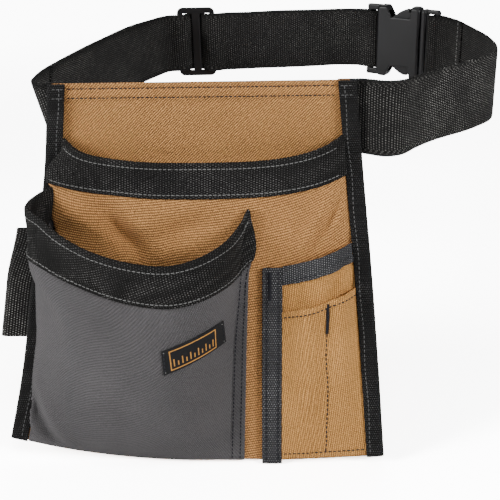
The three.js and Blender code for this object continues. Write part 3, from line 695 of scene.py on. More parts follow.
# Colours and finishes
TAN = (0.78, 0.385, 0.135)
TAN_DARK = (0.2, 0.093, 0.03)
PEN_TAN = (0.84, 0.42, 0.125)
PEN_DARK = (0.3, 0.14, 0.038)
GREY = (0.135, 0.128, 0.132)
GREY_DARK = (0.055, 0.052, 0.054)
panel_tan = canvas("panel_canvas", TAN, TAN_DARK, 45, 1.5 * MM, 2.9)
pocket_tan = canvas("pocket_canvas", TAN, TAN_DARK, 8, 1.75 * MM, 1.6)
pen_tan = canvas("pen_canvas", PEN_TAN, PEN_DARK, 80, 1.55 * MM, 1.5)
main_grey = canvas("grey_canvas", GREY, GREY_DARK, 45, 1.45 * MM, 0.65)
# Webbing colours: a dark ground, and a painted highlight colour for the light flecks on the rib tops
BLACK = (0.0078, 0.0075, 0.0072)
BELT_HIGHLIGHT = (0.5, 0.49, 0.46)
TRIM_HIGHLIGHT = (0.19, 0.185, 0.178)
TAPE_BLACK = (0.0085, 0.0082, 0.0082)
TAPE_HIGHLIGHT = (0.1, 0.1, 0.098)
TAPE_GREY = (0.036, 0.036, 0.039)
GREY_TAPE_HIGHLIGHT = (0.46, 0.46, 0.47)
belt_black = webbing("belt_webbing", BLACK, BELT_HIGHLIGHT, 2 * MM, 1.7 * MM, 0.55)
trim_black = webbing("trim_webbing", BLACK, TRIM_HIGHLIGHT, 1.9 * MM, 1.6 * MM, 0.5)
tape_black = webbing("binding_tape", TAPE_BLACK, TAPE_HIGHLIGHT, 1.6 * MM, 1.5 * MM, 0.5)
tape_grey = webbing("grey_tape", TAPE_GREY, GREY_TAPE_HIGHLIGHT, 1.6 * MM, 1.6 * MM, 0.6)
light_thread = plain("light_thread", (0.21, 0.21, 0.205), 0.6, 0.05 * MM)
grey_thread = plain("grey_thread", (0.13, 0.13, 0.13), 0.7, 0.05 * MM)
dark_thread = plain("dark_thread", (0.012, 0.012, 0.018), 0.7, 0.05 * MM)
moulded_black = plain("black_plastic", (0.0075, 0.0075, 0.0085), 0.42, 0.03 * MM)
patch_black = patch("black_patch", (0.009, 0.009, 0.01), (0.72, 0.34, 0.07))


def new_object(name, data):
    made = bpy.data.objects.new(name, data)
    bpy.context.scene.collection.objects.link(made)
    return made


def make_piece(name, points, faces, finish, flat=None, replaces=()):
    mesh = bpy.data.meshes.new(name)
    mesh.from_pydata(points.tolist(), [], faces)
    mesh.update()
    if flat is not None:
        layer = mesh.uv_layers.new(name="flat")
        corners = np.zeros(len(mesh.loops), np.int32)
        mesh.loops.foreach_get("vertex_index", corners)
        layer.data.foreach_set("uv", flat[corners].ravel().astype(np.float32))
    mesh.polygons.foreach_set("use_smooth", np.ones(len(mesh.polygons), bool))
    mesh.materials.append(finish)
    return keep_piece(name, mesh, replaces)


def keep_piece(name, mesh, replaces):
    piece = new_object(name, mesh)
    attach(piece, "root")
    if replaces:
        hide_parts(*replaces)
    return piece


def sheet_faces(front, back):
    """Points and faces of a closed sheet with rounded edges, from its two grids."""
    rows, columns = front.shape[:2]
    count = rows * columns
    index = np.arange(count).reshape(rows, columns)
    border = np.concatenate([
        index[0, :], index[1:, -1], index[-1, -2::-1], index[-2:0:-1, 0],
    ])
    row, column = border // columns, border % columns
    near = np.clip(row, 1, rows - 2) * columns + np.clip(column, 1, columns - 2)
    face_a, face_b = front.reshape(-1, 3), back.reshape(-1, 3)
    outward = unit(face_a[border] + face_b[border] - face_a[near] - face_b[near])
    thick = np.linalg.norm(face_a[border] - face_b[border], axis=1, keepdims=True)
    rim = (face_a[border] + face_b[border]) / 2 + outward * thick * 0.3
    points = np.vstack([face_a, face_b, rim])
    a, b = index[:-1, :-1].ravel(), index[:-1, 1:].ravel()
    c, d = index[1:, 1:].ravel(), index[1:, :-1].ravel()
    faces = [np.stack([a, b, c, d], 1), np.stack([a, d, c, b], 1) + count]
    after = np.roll(border, -1)
    edge = 2 * count + np.arange(len(border))
    edge_after = np.roll(edge, -1)
    faces.append(np.stack([border, edge, edge_after, after], 1))
    faces.append(np.stack([edge, border + count, after + count, edge_after], 1))
    faces = np.vstack(faces)
    corners = points[faces]
    volume = np.einsum("ij,ij->i", corners[:, 0], np.cross(corners[:, 1], corners[:, 2])).sum()
    volume += np.einsum("ij,ij->i", corners[:, 0], np.cross(corners[:, 2], corners[:, 3])).sum()
    if volume < 0:
        faces = faces[:, ::-1]
    return points, faces.tolist(), border


def flat_map(points, turned):
    """Real lengths on the cloth, along its rows from their middle and down its columns."""
    along = np.linalg.norm(np.diff(points, axis=1), axis=2)
    along = np.pad(np.cumsum(along, axis=1), ((0, 0), (1, 0)))
    along -= along[:, [along.shape[1] // 2]]
    across = np.linalg.norm(np.diff(points, axis=0), axis=2)
    across = np.pad(np.cumsum(across, axis=0), ((1, 0), (0, 0)))
    return np.stack([across, along] if turned else [along, across], -1).reshape(-1, 2)


def sheet_between(name, front, back, finish, turned=False, replaces=()):
    points, faces, border = sheet_faces(front, back)
    flat = flat_map((front + back) / 2, turned)
    flat = np.vstack([flat, flat, flat[border]])
    return make_piece(name, points, faces, finish, flat, replaces)


class Layer:
    """A surface of the apron: place(a, b) for a across and b down."""

    def __init__(self, place):
        self.place = place

    def at(self, a, b, out):
        tiny = 1e-4
        a, b = np.broadcast_arrays(np.asarray(a, float), np.asarray(b, float))
        along = self.place(a + tiny, b) - self.place(a - tiny, b)
        below = self.place(a, b + tiny) - self.place(a, b - tiny)
        normal = unit(np.cross(below, along))
        return self.place(a, b) + normal * np.asarray(out)[..., None], normal

    def sheet(self, name, across, down, inner, outer, finish, slot, turned=False, replaces=()):
        a, b = np.meshgrid(across, down)
        front = self.at(a, b, outer(a, b) if callable(outer) else outer)[0]
        back = self.at(a, b, inner)[0]
        return sheet_between(name, front, back, finish, turned, replaces)


def shares(count, edge, start=0.0, end=1.0):
    """Even steps with one more close to each end."""
    span = end - start
    inner = np.linspace(start + edge * span, end - edge * span, count)
    return np.concatenate([[start], inner, [end]])


# Thread: each stitch is a short thick strand that dips at its ends
def stitched(line, normals, pitch=STITCH, seen=STITCH_SEEN):
    """Starts, ends and normals of the stitches along a line."""
    lengths = lengths_along(line)
    count = max(1, int(lengths[-1] / pitch))
    middles = (np.arange(count) + 0.5) * lengths[-1] / count
    starts = points_at(middles - seen / 2, lengths, line)
    ends = points_at(middles + seen / 2, lengths, line)
    return starts, ends, unit(points_at(middles, lengths, normals))


def thread_piece(name, runs, finish, radius=THREAD):
    starts, ends, normals = (np.vstack(parts) for parts in zip(*runs))
    along = ends - starts
    side = unit(np.cross(normals, along))
    up = unit(np.cross(along, side))
    stations = np.array([0, 0.16, 0.5, 0.84, 1])
    thick = np.array([0.35, 0.85, 1, 0.85, 0.35])
    lift = np.array([-0.6, 0.1, 0.35, 0.1, -0.6])
    sides = 6
    angles = np.arange(sides) * math.tau / sides
    middle = starts[:, None] + along[:, None] * stations[:, None]
    middle = middle + up[:, None] * (lift * radius)[:, None]
    ring = side[:, None, None] * np.cos(angles)[:, None] + up[:, None, None] * 0.8 * np.sin(angles)[:, None]
    points = middle[:, :, None] + ring * (thick * radius)[:, None, None]
    count, rings = len(starts), len(stations)
    points = points.reshape(-1, 3)
    faces = []
    one = []
    for i in range(rings - 1):
        for j in range(sides):
            k = (j + 1) % sides
            one.append([i * sides + j, i * sides + k, (i + 1) * sides + k, (i + 1) * sides + j])
    first = list(range(sides))[::-1]
    last = [(rings - 1) * sides + j for j in range(sides)]
    for stitch in range(count):
        base = stitch * rings * sides
        faces.extend([[base + v for v in face] for face in one])
        faces.append([base + v for v in first])
        faces.append([base + v for v in last])
    return make_piece(name, points, faces, finish)


def row_on(layer, a, b, out, pitch=STITCH, seen=STITCH_SEEN):
    line, normals = layer.at(a, b, out)
    return stitched(line, normals, pitch, seen)


def bar_tack(layer, a, b, out, wide, count):
    """Close stitches across a short line, one after the other."""
    line, normals = layer.at(a, b, out)
    spot = np.linspace(0, len(line) - 1, count)
    pick = np.arange(len(line))
    middle = points_at(spot, pick, line)
    normal = unit(points_at(spot, pick, normals))
    side = unit(np.cross(normal, np.gradient(middle, axis=0)))
    return middle - side * wide / 2, middle + side * wide / 2, normal


# Back panel with its turned hem
HEM = 11 * MM
HEM_ROWS = (3.3 * MM, HEM - 1.2 * MM)
HEM_ROLL = 1.3 * MM
HEM_PUCKER = 0.2 * MM


def panel_place(a, b):
    right = mix(left_side(POUCH_LENGTH * b), right_side(POUCH_LENGTH * b), a)
    down = bottom_line(right) * b
    return pouch(mix(left_side(down), right_side(down), a), down, 0)


def hem_rise(a, down):
    band = smooth((HEM + 0.8 * MM - down) / (1.6 * MM)) * smooth((down + 0.6 * MM) / (1.4 * MM))
    rows = sum(hill(down - row, 0.7 * MM) for row in HEM_ROWS)
    pucker = np.sin(209 * a + 2 * np.sin(17 * a)) * hill(down - 7 * MM, 6 * MM)
    return (HEM_ROLL * (1 - 0.75 * np.clip(rows, 0, 1)) + HEM_PUCKER * pucker) * band


panel = Layer(panel_place)
hem_shares = np.linspace(0, 14 * MM, 29) / POUCH_LENGTH
panel_down = np.concatenate([hem_shares, np.linspace(14 * MM / POUCH_LENGTH, 1, 80)[1:]])
panel.sheet(
    "back_panel_cloth", shares(200, 0.003), panel_down, -CANVAS,
    lambda a, b: hem_rise(a, bottom_line(0) * b) + 0.05 * MM, panel_tan, "tan_canvas",
    replaces=["back_panel"],
)
hem_across = np.linspace(0.05, 0.95, 200)
dark_rows = []
for row_down in HEM_ROWS:
    dark_rows.append(row_on(panel, hem_across, row_down / POUCH_LENGTH, 0.5 * MM, 2.9 * MM, 2.5 * MM))


# Upper pocket and its trim
def upper_right(a, down):
    inside = mix(dome_left(down), dome_right(down), np.clip(a, 0, 1))
    left = mix(dome_left(down), left_side(down), np.clip(-a, 0, 1))
    right = mix(dome_right(down), right_side(down), np.clip(a - 1, 0, 1))
    return np.where(a < 0, left, np.where(a > 1, right, inside))


def upper_wall(a, down):
    right = upper_right(a, down)
    ends = smooth((1 - np.abs(upper_across(right, down))) / 0.08)
    under_trim = smooth((down - UPPER_MOUTH - 1.2 * TRIM_WIDTH) / (12 * MM))
    bent = folds(UPPER_FOLDS, right, down) * ends * under_trim
    out = upper_out(right, down) + bent
    return pouch(lean_over(right, down, out, dome_left(down), UPPER_LEAN), down, out)


def upper_place(a, b):
    top = upper_right(a, UPPER_MOUTH + 0 * b)
    foot = upper_right(a, bottom_line(top))
    return upper_wall(a, mix(upper_mouth_line(top) + UNDER_FOLD, bottom_line(foot), b))


upper = Layer(upper_place)
dome_shares = 0.5 - 0.5 * np.cos(np.pi * np.linspace(0, 1, 120))
upper.sheet(
    "upper_pocket_cloth", np.concatenate([[-1, -0.5], dome_shares, [1.5, 2]]), shares(90, 0.003),
    0, CANVAS, pocket_tan, "tan_canvas", replaces=["upper_pocket"],
)


TRIM_RIB = 1.8 * MM
TRIM_RIDGE = 0.12 * MM


def folded_tape(place, inside):
    """A tape folded over a mouth; place(a, down) gives the pocket's wall under the mouth."""
    turn = math.pi * FOLD_REACH
    steps = np.linspace(0, 1, 1500)
    lip = place(steps, 0 * steps)
    lengths = lengths_along(lip)

    def section(a, b):
        run = mix(-TRIM_WIDTH, turn + inside, b)
        angle = np.clip(run / FOLD_REACH, 0, math.pi)
        down = np.where(run < 0, -run, np.maximum(0, run - turn))
        at = place(a, down)
        along = place(a + 1e-3, down) - place(a - 1e-3, down)
        below = place(a, down + 1e-6) - at
        out = unit(np.cross(below, along))
        radius = FOLD_REACH + TRIM_RIDGE * np.sin(math.tau * np.interp(a, steps, lengths) / TRIM_RIB)
        lift = (CANVAS / 2 + radius * np.cos(angle))[..., None]
        return at + out * lift - unit(below) * (radius * np.sin(angle))[..., None]

    return Layer(section)


def fold_steps(inside):
    turn = math.pi * FOLD_REACH
    whole = TRIM_WIDTH + turn + inside
    low, high = TRIM_WIDTH / whole, (TRIM_WIDTH + turn) / whole
    return np.concatenate([
        shares(16, 0.02, 0, low)[:-1], np.linspace(low, high, 9), shares(8, 0.03, high, 1)[1:],
    ])


def on_trim(distance, inside):
    """The share of a trim's section at a distance under the mouth, on its outside."""
    return (TRIM_WIDTH - distance) / (TRIM_WIDTH + math.pi * FOLD_REACH + inside)


# A trim's section runs upwards, so its outside lies against its normal
TRIM_TOP = -TAPE / 2 - 0.1 * MM


def upper_from_mouth(a, down):
    return upper_wall(a, upper_mouth_line(upper_right(a, UPPER_MOUTH + 0 * down)) + UNDER_FOLD + down)


light_rows = []


def trim(node, place, inside, across, line, rows):
    """A trim folded over a mouth, with its stitch rows."""
    tape = folded_tape(place, inside)
    tape.sheet(
        node + "_tape", across, fold_steps(inside), -TAPE / 2, TAPE / 2, trim_black, "black_webbing",
        replaces=[node],
    )
    for row in rows:
        light_rows.append(row_on(tape, line, on_trim(row, inside), TRIM_TOP))


TRIM_ENDS = 0.002
trim_shares = 0.5 - 0.5 * np.cos(np.pi * np.linspace(0, 1, 520))
trim(
    "upper_pocket_trim", upper_from_mouth, TRIM_INSIDE, mix(TRIM_ENDS, 1 - TRIM_ENDS, trim_shares),
    np.linspace(0.03, 0.97, 240), (2.6 * MM, TRIM_WIDTH - 2.6 * MM),
)

# Main pocket and its trim
MAIN_START = UNDER_FOLD / (POUCH_LENGTH - MAIN_MOUTH - MAIN_DIP)
main_wall = Layer(lambda a, b: main_point(a, mix(MAIN_START, 1, b)))
main_steps = np.concatenate([
    np.linspace(0, 0.12, 26), np.linspace(0.12, 0.92, 86)[1:], np.linspace(0.92, 1, 20)[1:],
])


def seam_pucker(a, b):
    return CANVAS + 0.3 * MM * np.sin(170 * b + 3 * np.sin(19 * b)) * smooth((a - 0.9) / 0.03)


main_wall.sheet(
    "main_pocket_cloth", main_steps, shares(120, 0.003), 0, seam_pucker, main_grey, "grey_canvas",
    replaces=["main_pocket"],
)


def main_from_mouth(a, down):
    return main_point(a, (UNDER_FOLD + down) / (POUCH_LENGTH - MAIN_MOUTH - MAIN_DIP))


trim(
    "main_pocket_trim", main_from_mouth, MAIN_TRIM_INSIDE, np.linspace(0.012, 1, 600),
    np.linspace(0.04, 0.985, 400), (2.8 * MM, TRIM_WIDTH - 2.2 * MM),
)
seam_line = np.linspace(0.17, 0.995, 260)
for from_edge in (2.4 * MM, 7.2 * MM):
    seam_share = 1 - from_edge / MAIN_WIDTH
    dark_rows.append(row_on(main_wall, seam_share, seam_line, CANVAS + ON_CLOTH, 2.8 * MM, 2.3 * MM))


# Small pocket with its grey tapes, and the pen pocket on it
def off_ends(a):
    return smooth((a + 0.02) / 0.15) * smooth((1 - a) / 0.12)


def pocket_layer(left_of, mouth_of, out, table, bottom_short=0.0, ripple=0.0):
    def right_of(a, down):
        tucked = mix(dome_right(down), right_side(down), np.clip(a - 1, 0, 1))
        return np.where(a > 1, tucked, mix(left_of(down), dome_right(down), np.minimum(a, 1)))

    def place(a, b):
        guess = right_of(a, SMALL_MOUTH + 0 * b)
        down = mix(mouth_of(guess), bottom_line(guess) - bottom_short, b)
        right = right_of(a, down)
        waves = np.sin(math.tau * right / (3.6 * MM) + 1.6 * np.sin(down / (7 * MM)))
        waves = ripple * waves * hill(right - PEN_DIVIDER + 12 * MM, 13 * MM)
        return pouch(right, down, out(right, down) + off_ends(a) * (folds(table, right, down) + waves))

    return Layer(place)


def small_start(down):
    return small_left(down) + 1 * MM


def pen_start(down):
    return tape_right(down) + 2 * GAP


def leg_clear(down):
    return right_leg(down) - TAPE_SHORT


small_wall = pocket_layer(small_start, small_mouth_line, small_out, SMALL_FOLDS)
pocket_steps = np.concatenate([shares(60, 0.006), [1.5, 2]])
small_wall.sheet(
    "small_pocket_cloth", pocket_steps, shares(60, 0.004), 0, CANVAS, pen_tan, "tan_canvas",
    replaces=["small_pocket"],
)
TAPE_FROM = CANVAS + GAP


def side_tape_place(a, b):
    down = mix(SMALL_MOUTH - 1 * MM, POUCH_LENGTH + 2 * MM, b)
    right = mix(small_left(down), tape_right(down), a)
    return pouch(right, down, small_out(right, down))


def top_tape_place(a, b):
    guess = mix(pen_start(SMALL_MOUTH + 0 * a), leg_clear(SMALL_MOUTH + 0 * a), a)
    down = small_mouth_line(guess) - 0.5 * MM + TOP_TAPE * b
    right = mix(pen_start(down), leg_clear(down), a)
    return pouch(right, down, small_out(right, down) + off_ends(a) * folds(SMALL_FOLDS, right, down))


def side_tape_top(a, b):
    groove = hill(a - 0.84, 0.05) + 0.7 * hill(a - 0.2, 0.06)
    return TAPE_FROM + TAPE * (1.3 - 0.7 * groove)


side_tape = Layer(side_tape_place)
side_tape.sheet(
    "small_pocket_side_tape_cloth", shares(26, 0.03), shares(90, 0.003), TAPE_FROM, side_tape_top,
    tape_grey, "grey_tape", turned=True, replaces=["small_pocket_side_tape"],
)


def top_tape_top(a, b):
    lip = 0.5 * MM * smooth((b - 0.62) / 0.08) * smooth((a - 0.3) / 0.4)
    return TAPE_FROM + GAP + TAPE * (1.1 - 0.5 * hill(b - 0.6, 0.06)) + lip


top_tape = Layer(top_tape_place)
top_tape.sheet(
    "small_pocket_top_tape_cloth", shares(60, 0.006), shares(22, 0.03), TAPE_FROM + GAP, top_tape_top,
    tape_grey, "grey_tape", replaces=["small_pocket_top_tape"],
)
pen_wall = pocket_layer(pen_start, pen_mouth_line, pen_out, PEN_FOLDS, 1 * MM, 0.28 * MM)


def pen_hem(a, b):
    down = b * (POUCH_LENGTH - PEN_MOUTH)
    return CANVAS + 0.5 * MM * smooth((4.4 * MM - down) / (1.4 * MM))


pen_wall.sheet(
    "pen_pocket_cloth", np.concatenate([shares(76, 0.006), [1.5, 2]]),
    np.concatenate([np.linspace(0, 0.07, 12), np.linspace(0.07, 1, 60)[1:]]),
    0, pen_hem, pen_tan, "tan_canvas", replaces=["pen_pocket"],
)
tape_line = np.linspace(0.02, 0.985, 200)
for across in (0.2, 0.8):
    dark_rows.append(row_on(side_tape, across, tape_line, TAPE_FROM + TAPE + ON_CLOTH))
top_line = np.linspace(0.02, 0.98, 120)
dark_rows.append(row_on(top_tape, top_line, 0.8, TAPE_FROM + GAP + TAPE + ON_CLOTH))
pen_line = np.linspace(0.01, 0.985, 160)
dark_rows.append(row_on(pen_wall, pen_line, 0.034, CANVAS + 0.45 * MM))
dark_rows.append(row_on(pen_wall, pen_line, 0.965, CANVAS + ON_CLOTH))


def divider_share(b):
    """How far across the pen pocket its dividing row lies."""
    down = PEN_MOUTH + b * (POUCH_LENGTH - PEN_MOUTH)
    right = PEN_DIVIDER + 0.7 * MM * np.sin(down / (11 * MM))
    return (right - pen_start(down)) / (dome_right(down) - pen_start(down))


divider_line = np.linspace(0.19, 0.965, 160)
dark_rows.append(row_on(pen_wall, divider_share(divider_line), divider_line, CANVAS + 0.1 * MM))
tack_line = np.linspace(0.012, 0.19, 40)
tacks = [bar_tack(pen_wall, divider_share(tack_line), tack_line, CANVAS + 0.5 * MM, 3 * MM, 36)]
side_tack = np.linspace(0.025, 0.16, 40)
tacks.append(bar_tack(side_tape, 0.38, side_tack, TAPE_FROM + 1.3 * TAPE, 3 * MM, 36))


# Side bindings
def right_stack(down):
    small = NEXT_LAYER * smooth((down - SMALL_MOUTH + SMALL_RISE + STACK_RISE) / STACK_RISE)
    pen = NEXT_LAYER * smooth((down - PEN_MOUTH + PEN_RISE + STACK_RISE) / STACK_RISE)
    return LEFT_STACK + small + pen


BINDING_RIB = 1.6 * MM
BINDING_RIDGE = 0.1 * MM


def binding(edge, side, stack, end):
    def place(a, b):
        part = 3 - a if side > 0 else a
        down = mix(-0.5 * MM, end, b)
        front = stack(down)
        radius = (front - BACK_LEG) / 2
        leg = BINDING_LEG - TAPE - radius
        angle = math.pi * np.clip(part - 1, 0, 1)
        along = np.where(part < 1, leg * (1 - part), leg * np.maximum(0, part - 2))
        ribbed = radius + BINDING_RIDGE * np.sin(math.tau * down / BINDING_RIB)
        right = edge(down) + side * (TAPE + radius + along - ribbed * np.sin(angle))
        down = down + b ** 6 * (bottom_line(right) + 0.8 * MM - end)
        return pouch(right, down, (front + BACK_LEG) / 2 + ribbed * np.cos(angle))

    return Layer(place)


left_tape = binding(left_edge, 1, lambda down: LEFT_STACK + 0 * down, POUCH_LENGTH - CORNER_LIFT - 1 * MM)
right_tape = binding(right_edge, -1, right_stack, POUCH_LENGTH - 1 * MM)
wrap_steps = np.concatenate([
    [0, 0.04], np.linspace(0.15, 1, 7), np.linspace(1, 2, 13)[1:], np.linspace(2, 2.85, 7)[1:], [2.96, 3],
])
for side_name, tape_layer in (("left", left_tape), ("right", right_tape)):
    tape_layer.sheet(
        side_name + "_binding_tape", wrap_steps, shares(620, 0.001), 0, TAPE, tape_black, "black_webbing",
        turned=True, replaces=[side_name + "_binding"],
    )
binding_line = np.linspace(0.01, 0.99, 260)
binding_sway = 0.05 * np.sin(binding_line * 31)
grey_rows = [
    row_on(left_tape, 2.6 + binding_sway, binding_line, TAPE + ON_BINDING),
    row_on(right_tape, 0.36 + binding_sway, binding_line, TAPE + ON_BINDING),
]
leg_line = np.linspace(0.08, 0.95, 20)
for row_down in HEM_ROWS:
    leg_share = row_down / POUCH_LENGTH
    grey_rows.append(row_on(left_tape, 2 + leg_line, leg_share, TAPE + ON_BINDING, 2.6 * MM, 2.1 * MM))
    grey_rows.append(row_on(right_tape, leg_line, leg_share, TAPE + ON_BINDING, 2.6 * MM, 2.1 * MM))


# Patch, looked up on the main pocket's wall
SEARCH_STEPS = 12


def main_at(right, down):
    """The main pocket's wall at a place of the pouch, found by small steps."""
    across, share = 0.5 + 0 * right, 0.3 + 0 * right
    slip = 1e-3
    goal = pouch(right, down, upper_out(right, down) + MAIN_DEPTH)

    def flat(a, b):
        at_right, at_down, out = main_place(a, b)
        point = pouch(at_right, at_down, out)
        return point[..., 0], point[..., 2]

    for step in range(SEARCH_STEPS):
        x, z = flat(across, share)
        xa, za = flat(across + slip, share)
        xb, zb = flat(across, share + slip)
        dx, dz = goal[..., 0] - x, goal[..., 2] - z
        a, b, c, d = (xa - x) / slip, (xb - x) / slip, (za - z) / slip, (zb - z) / slip
        whole = a * d - b * c
        across = np.clip(across + (d * dx - b * dz) / whole, 0, 1)
        share = np.clip(share + (a * dz - c * dx) / whole, 0, 1)
    return main_point(across, share)


def patch_place(a, b):
    x, y = (a - 0.5) * LABEL_WIDTH, (b - 0.5) * LABEL_HEIGHT
    right = LABEL_RIGHT + x * math.cos(LABEL_TURN) + y * math.sin(LABEL_SLANT)
    return main_at(right, LABEL_DOWN - x * math.sin(LABEL_TURN) + y * math.cos(LABEL_SLANT))


patch_layer = Layer(patch_place)
patch_top = CANVAS + GAP + LABEL_THICK
patch_layer.sheet(
    "label_patch", shares(44, 0.01), shares(20, 0.02), CANVAS + GAP, patch_top, patch_black, "patch",
    replaces=["label"],
)
for corner_a, corner_b in ((0.03, 0.09), (0.97, 0.09), (0.03, 0.91), (0.97, 0.91)):
    corner = np.array([-0.012, 0.012]) + corner_a
    light_rows.append(row_on(patch_layer, corner, corner_b, patch_top, 1 * MM, 0.9 * MM))
side_line = np.linspace(0.08, 0.92, 30)
for end_a in (0.025, 0.975):
    dark_rows.append(row_on(patch_layer, end_a, side_line, patch_top, 2.4 * MM, 2 * MM))

# Hammer loop
STRAP_FRONT = BACK_LEG - TAPE - GAP - STRAP_THICK / 2


def hammer_place(a, b):
    down = LOOP_STRAP_TOP + LOOP_STRAP * b
    radius = mix(0.35 * LOOP_HOLLOW, LOOP_HOLLOW, smooth(b * 1.6))
    edge = left_edge(down)
    reach = mix(0.8 * LOOP_REACH, LOOP_REACH, smooth(b * 2))
    start = edge - reach + radius
    angle = math.pi * np.clip((a - FOLD_FROM) / (FOLD_TO - FOLD_FROM), 0, 1)
    leg = np.where(a < FOLD_FROM, 1 - a / FOLD_FROM, np.maximum(0, (a - FOLD_TO) / (1 - FOLD_TO)))
    right = mix(start, edge + BINDING_LEG, leg) - radius * np.sin(angle)
    closing = np.where(a > FOLD_TO, smooth(leg) * (2 * radius - STRAP_THICK - GAP), 0)
    return pouch(right, down, STRAP_FRONT - radius * (1 - np.cos(angle)) + closing)


hammer = Layer(hammer_place)
hammer.sheet(
    "hammer_loop_webbing", shares(90, 0.004), shares(40, 0.006), -STRAP_THICK / 2, STRAP_THICK / 2,
    belt_black, "black_webbing", replaces=["hammer_loop"],
)
loop_line = np.linspace(0.05, 0.5, 60)
light_rows.append(row_on(hammer, loop_line, 0.1, STRAP_THICK / 2 + 0.1 * MM))


# Belt
def smooth_route(knots):
    """A smooth line through the knots, the same as the frame's, with its lengths."""
    padded = np.vstack([2 * knots[0] - knots[1], knots, 2 * knots[-1] - knots[-2]])
    strides = np.sqrt(np.linalg.norm(np.diff(padded, axis=0), axis=1))
    t = np.linspace(0, 1, 200, endpoint=False)[:, None]
    runs = []
    for i in range(len(knots) - 1):
        p0, p1, p2, p3 = padded[i:i + 4]
        d0, d1, d2 = strides[i:i + 3]
        start = ((p1 - p0) / d0 - (p2 - p0) / (d0 + d1) + (p2 - p1) / d1) * d1
        end = ((p2 - p1) / d1 - (p3 - p1) / (d1 + d2) + (p3 - p2) / d2) * d1
        runs.append(
            (2 * t ** 3 - 3 * t ** 2 + 1) * p1 + (t ** 3 - 2 * t ** 2 + t) * start
            + (3 * t ** 2 - 2 * t ** 3) * p2 + (t ** 3 - t ** 2) * end
        )
    points = np.vstack([*runs, knots[-1:]])
    return lengths_along(points), points


def route_knots(rows):
    """The route's points, each with how far the belt's foot is tucked in."""
    sizes = np.array([LOOP_WIDTH, LOOP_DEPTH, BELT_WIDTH])
    return np.array([[row["x"], row["y"], row.get("tuck", 0)] for row in rows]) * sizes


def level_normal(points):
    step = np.gradient(points, axis=0)
    return unit(np.stack([step[:, 1], -step[:, 0], 0 * step[:, 0]], -1))


left_knots, right_knots = route_knots(LEFT_ROUTE), route_knots(RIGHT_ROUTE)
buckle_along = unit(right_knots[-1] - left_knots[-1])
buckle_middle = (right_knots[-1] + left_knots[-1]) / 2
bar_to_bar = BAR_TO_BODY + BUCKLE_BODY + BAR_TO_MALE
female_bar = buckle_middle - buckle_along * bar_to_bar / 2
male_bar = buckle_middle + buckle_along * bar_to_bar / 2


def slide_wave(from_bar):
    away = np.abs(from_bar - GLIDE_FROM_BAR)
    half = GLIDE_WIDTH / 2
    rise = smooth((away - GLIDE_BAR / 2) / (half - GLIDE_SIDE - GLIDE_BAR / 2))
    settle = np.where(away > half, 1 - smooth((away - half) / SLIDE_SETTLE), 1)
    return SLIDE_LIFT * (2 * rise - 1) * settle


BELT_STEP = 0.7 * MM
BELT_RIB = 2 * MM
BEHIND_HEM = 1.5 * MM
BELT_LEVELS = np.array([-0.5, -0.49, -0.47, -0.42, -0.25, 0, 0.25, 0.42, 0.47, 0.49, 0.5])


def belt(name, node, knots, bar, inward, back, wave, round_end, reach, behind):
    """A run of webbing to its bar, round it and back, as one band that stands on edge."""
    lengths, points = smooth_route(np.vstack([knots, bar]))
    total = lengths[-1]
    stops = np.linspace(0, total, int(total / BELT_STEP))
    line = points_at(stops, lengths, points)
    from_bar = total - stops
    middle = line + inward * level_normal(line) * wave(from_bar)[:, None]
    normal = inward * level_normal(middle)
    half = mix(BAR_SPREAD, BELT_PITCH / 2, smooth(from_bar / BAR_SETTLE))[:, None]
    outer, inner = middle - normal * half, middle + normal * half
    angles = np.linspace(0, math.pi, 14)[1:-1, None]
    ahead = unit((middle[-1] - middle[-2]) * np.array([1, 1, 0]))
    turn = middle[-1] - BAR_SPREAD * np.cos(angles) * normal[-1] + reach * np.sin(angles) * ahead
    returned = np.flatnonzero(from_bar <= back)[::-1]
    left = back - from_bar[returned]
    cut = np.zeros(len(returned))
    if round_end:
        near = np.clip(round_end - left, 0, round_end)
        cut = round_end - np.sqrt(round_end ** 2 - near ** 2)
    centre = np.vstack([outer, turn, inner[returned]])
    inset = np.concatenate([np.zeros(len(outer) + len(turn)), cut])
    run = lengths_along(centre)
    normal = level_normal(centre)
    level = BELT_LEVELS[:, None]
    tuck = centre[:, 2] * (0.5 - level)
    scallop = 0.3 * MM * np.sin(math.tau * run / BELT_RIB) * np.sign(level) * (np.abs(2 * level)) ** 12
    sway = 0.35 * MM * np.sin(run / (31 * MM)) + 0.25 * MM * np.sin(run / (13 * MM) + 1)
    clear = smooth((run - behind) / (25 * MM))
    z = level * (BELT_WIDTH - 2 * inset) + scallop + clear * sway * np.sign(level) * (2 * level) ** 2
    z = z - (1 - clear) * BEHIND_HEM
    grid = np.stack([centre[:, 0] + tuck, centre[:, 1] + 0 * tuck, z], -1)
    thick = WEBBING * mix(0.62, 1, smooth((0.5 - np.abs(level)) / 0.035))[..., None]
    sheet_between(
        name, grid + normal * thick / 2, grid - normal * thick / 2, belt_black,
        replaces=[node],
    )
    return grid, normal, run


left_run = belt(
    "belt_left_webbing", "belt_left", left_knots, female_bar, 1, TAIL_LENGTH, slide_wave, TAIL_ROUND,
    7.4 * MM, 20 * MM,
)[-1]
right_grid, right_normal, right_run = belt(
    "belt_right_webbing", "belt_right", right_knots, male_bar, -1, DOUBLED, lambda from_bar: 0 * from_bar, 0,
    8.3 * MM, 45 * MM,
)


def across_belt(grid, normal, run, from_end, side):
    """A row of stitches up the belt, near the end of its doubled part."""
    column = np.searchsorted(run, run[-1] - from_end)
    line = grid[:, column][1:-1] + side * normal[column] * (WEBBING / 2 + ON_CLOTH)
    return stitched(line, np.repeat(side * normal[column][None], len(line), 0))


for side in (1, -1):
    light_rows.append(across_belt(right_grid, right_normal, right_run, 6 * MM, side))

thread_piece("light_stitches", light_rows, light_thread)
thread_piece("binding_stitches", grey_rows, grey_thread, 0.3 * MM)
thread_piece("dark_stitches", dark_rows, dark_thread, 0.44 * MM)
thread_piece("bar_tacks", tacks, dark_thread, 0.3 * MM)


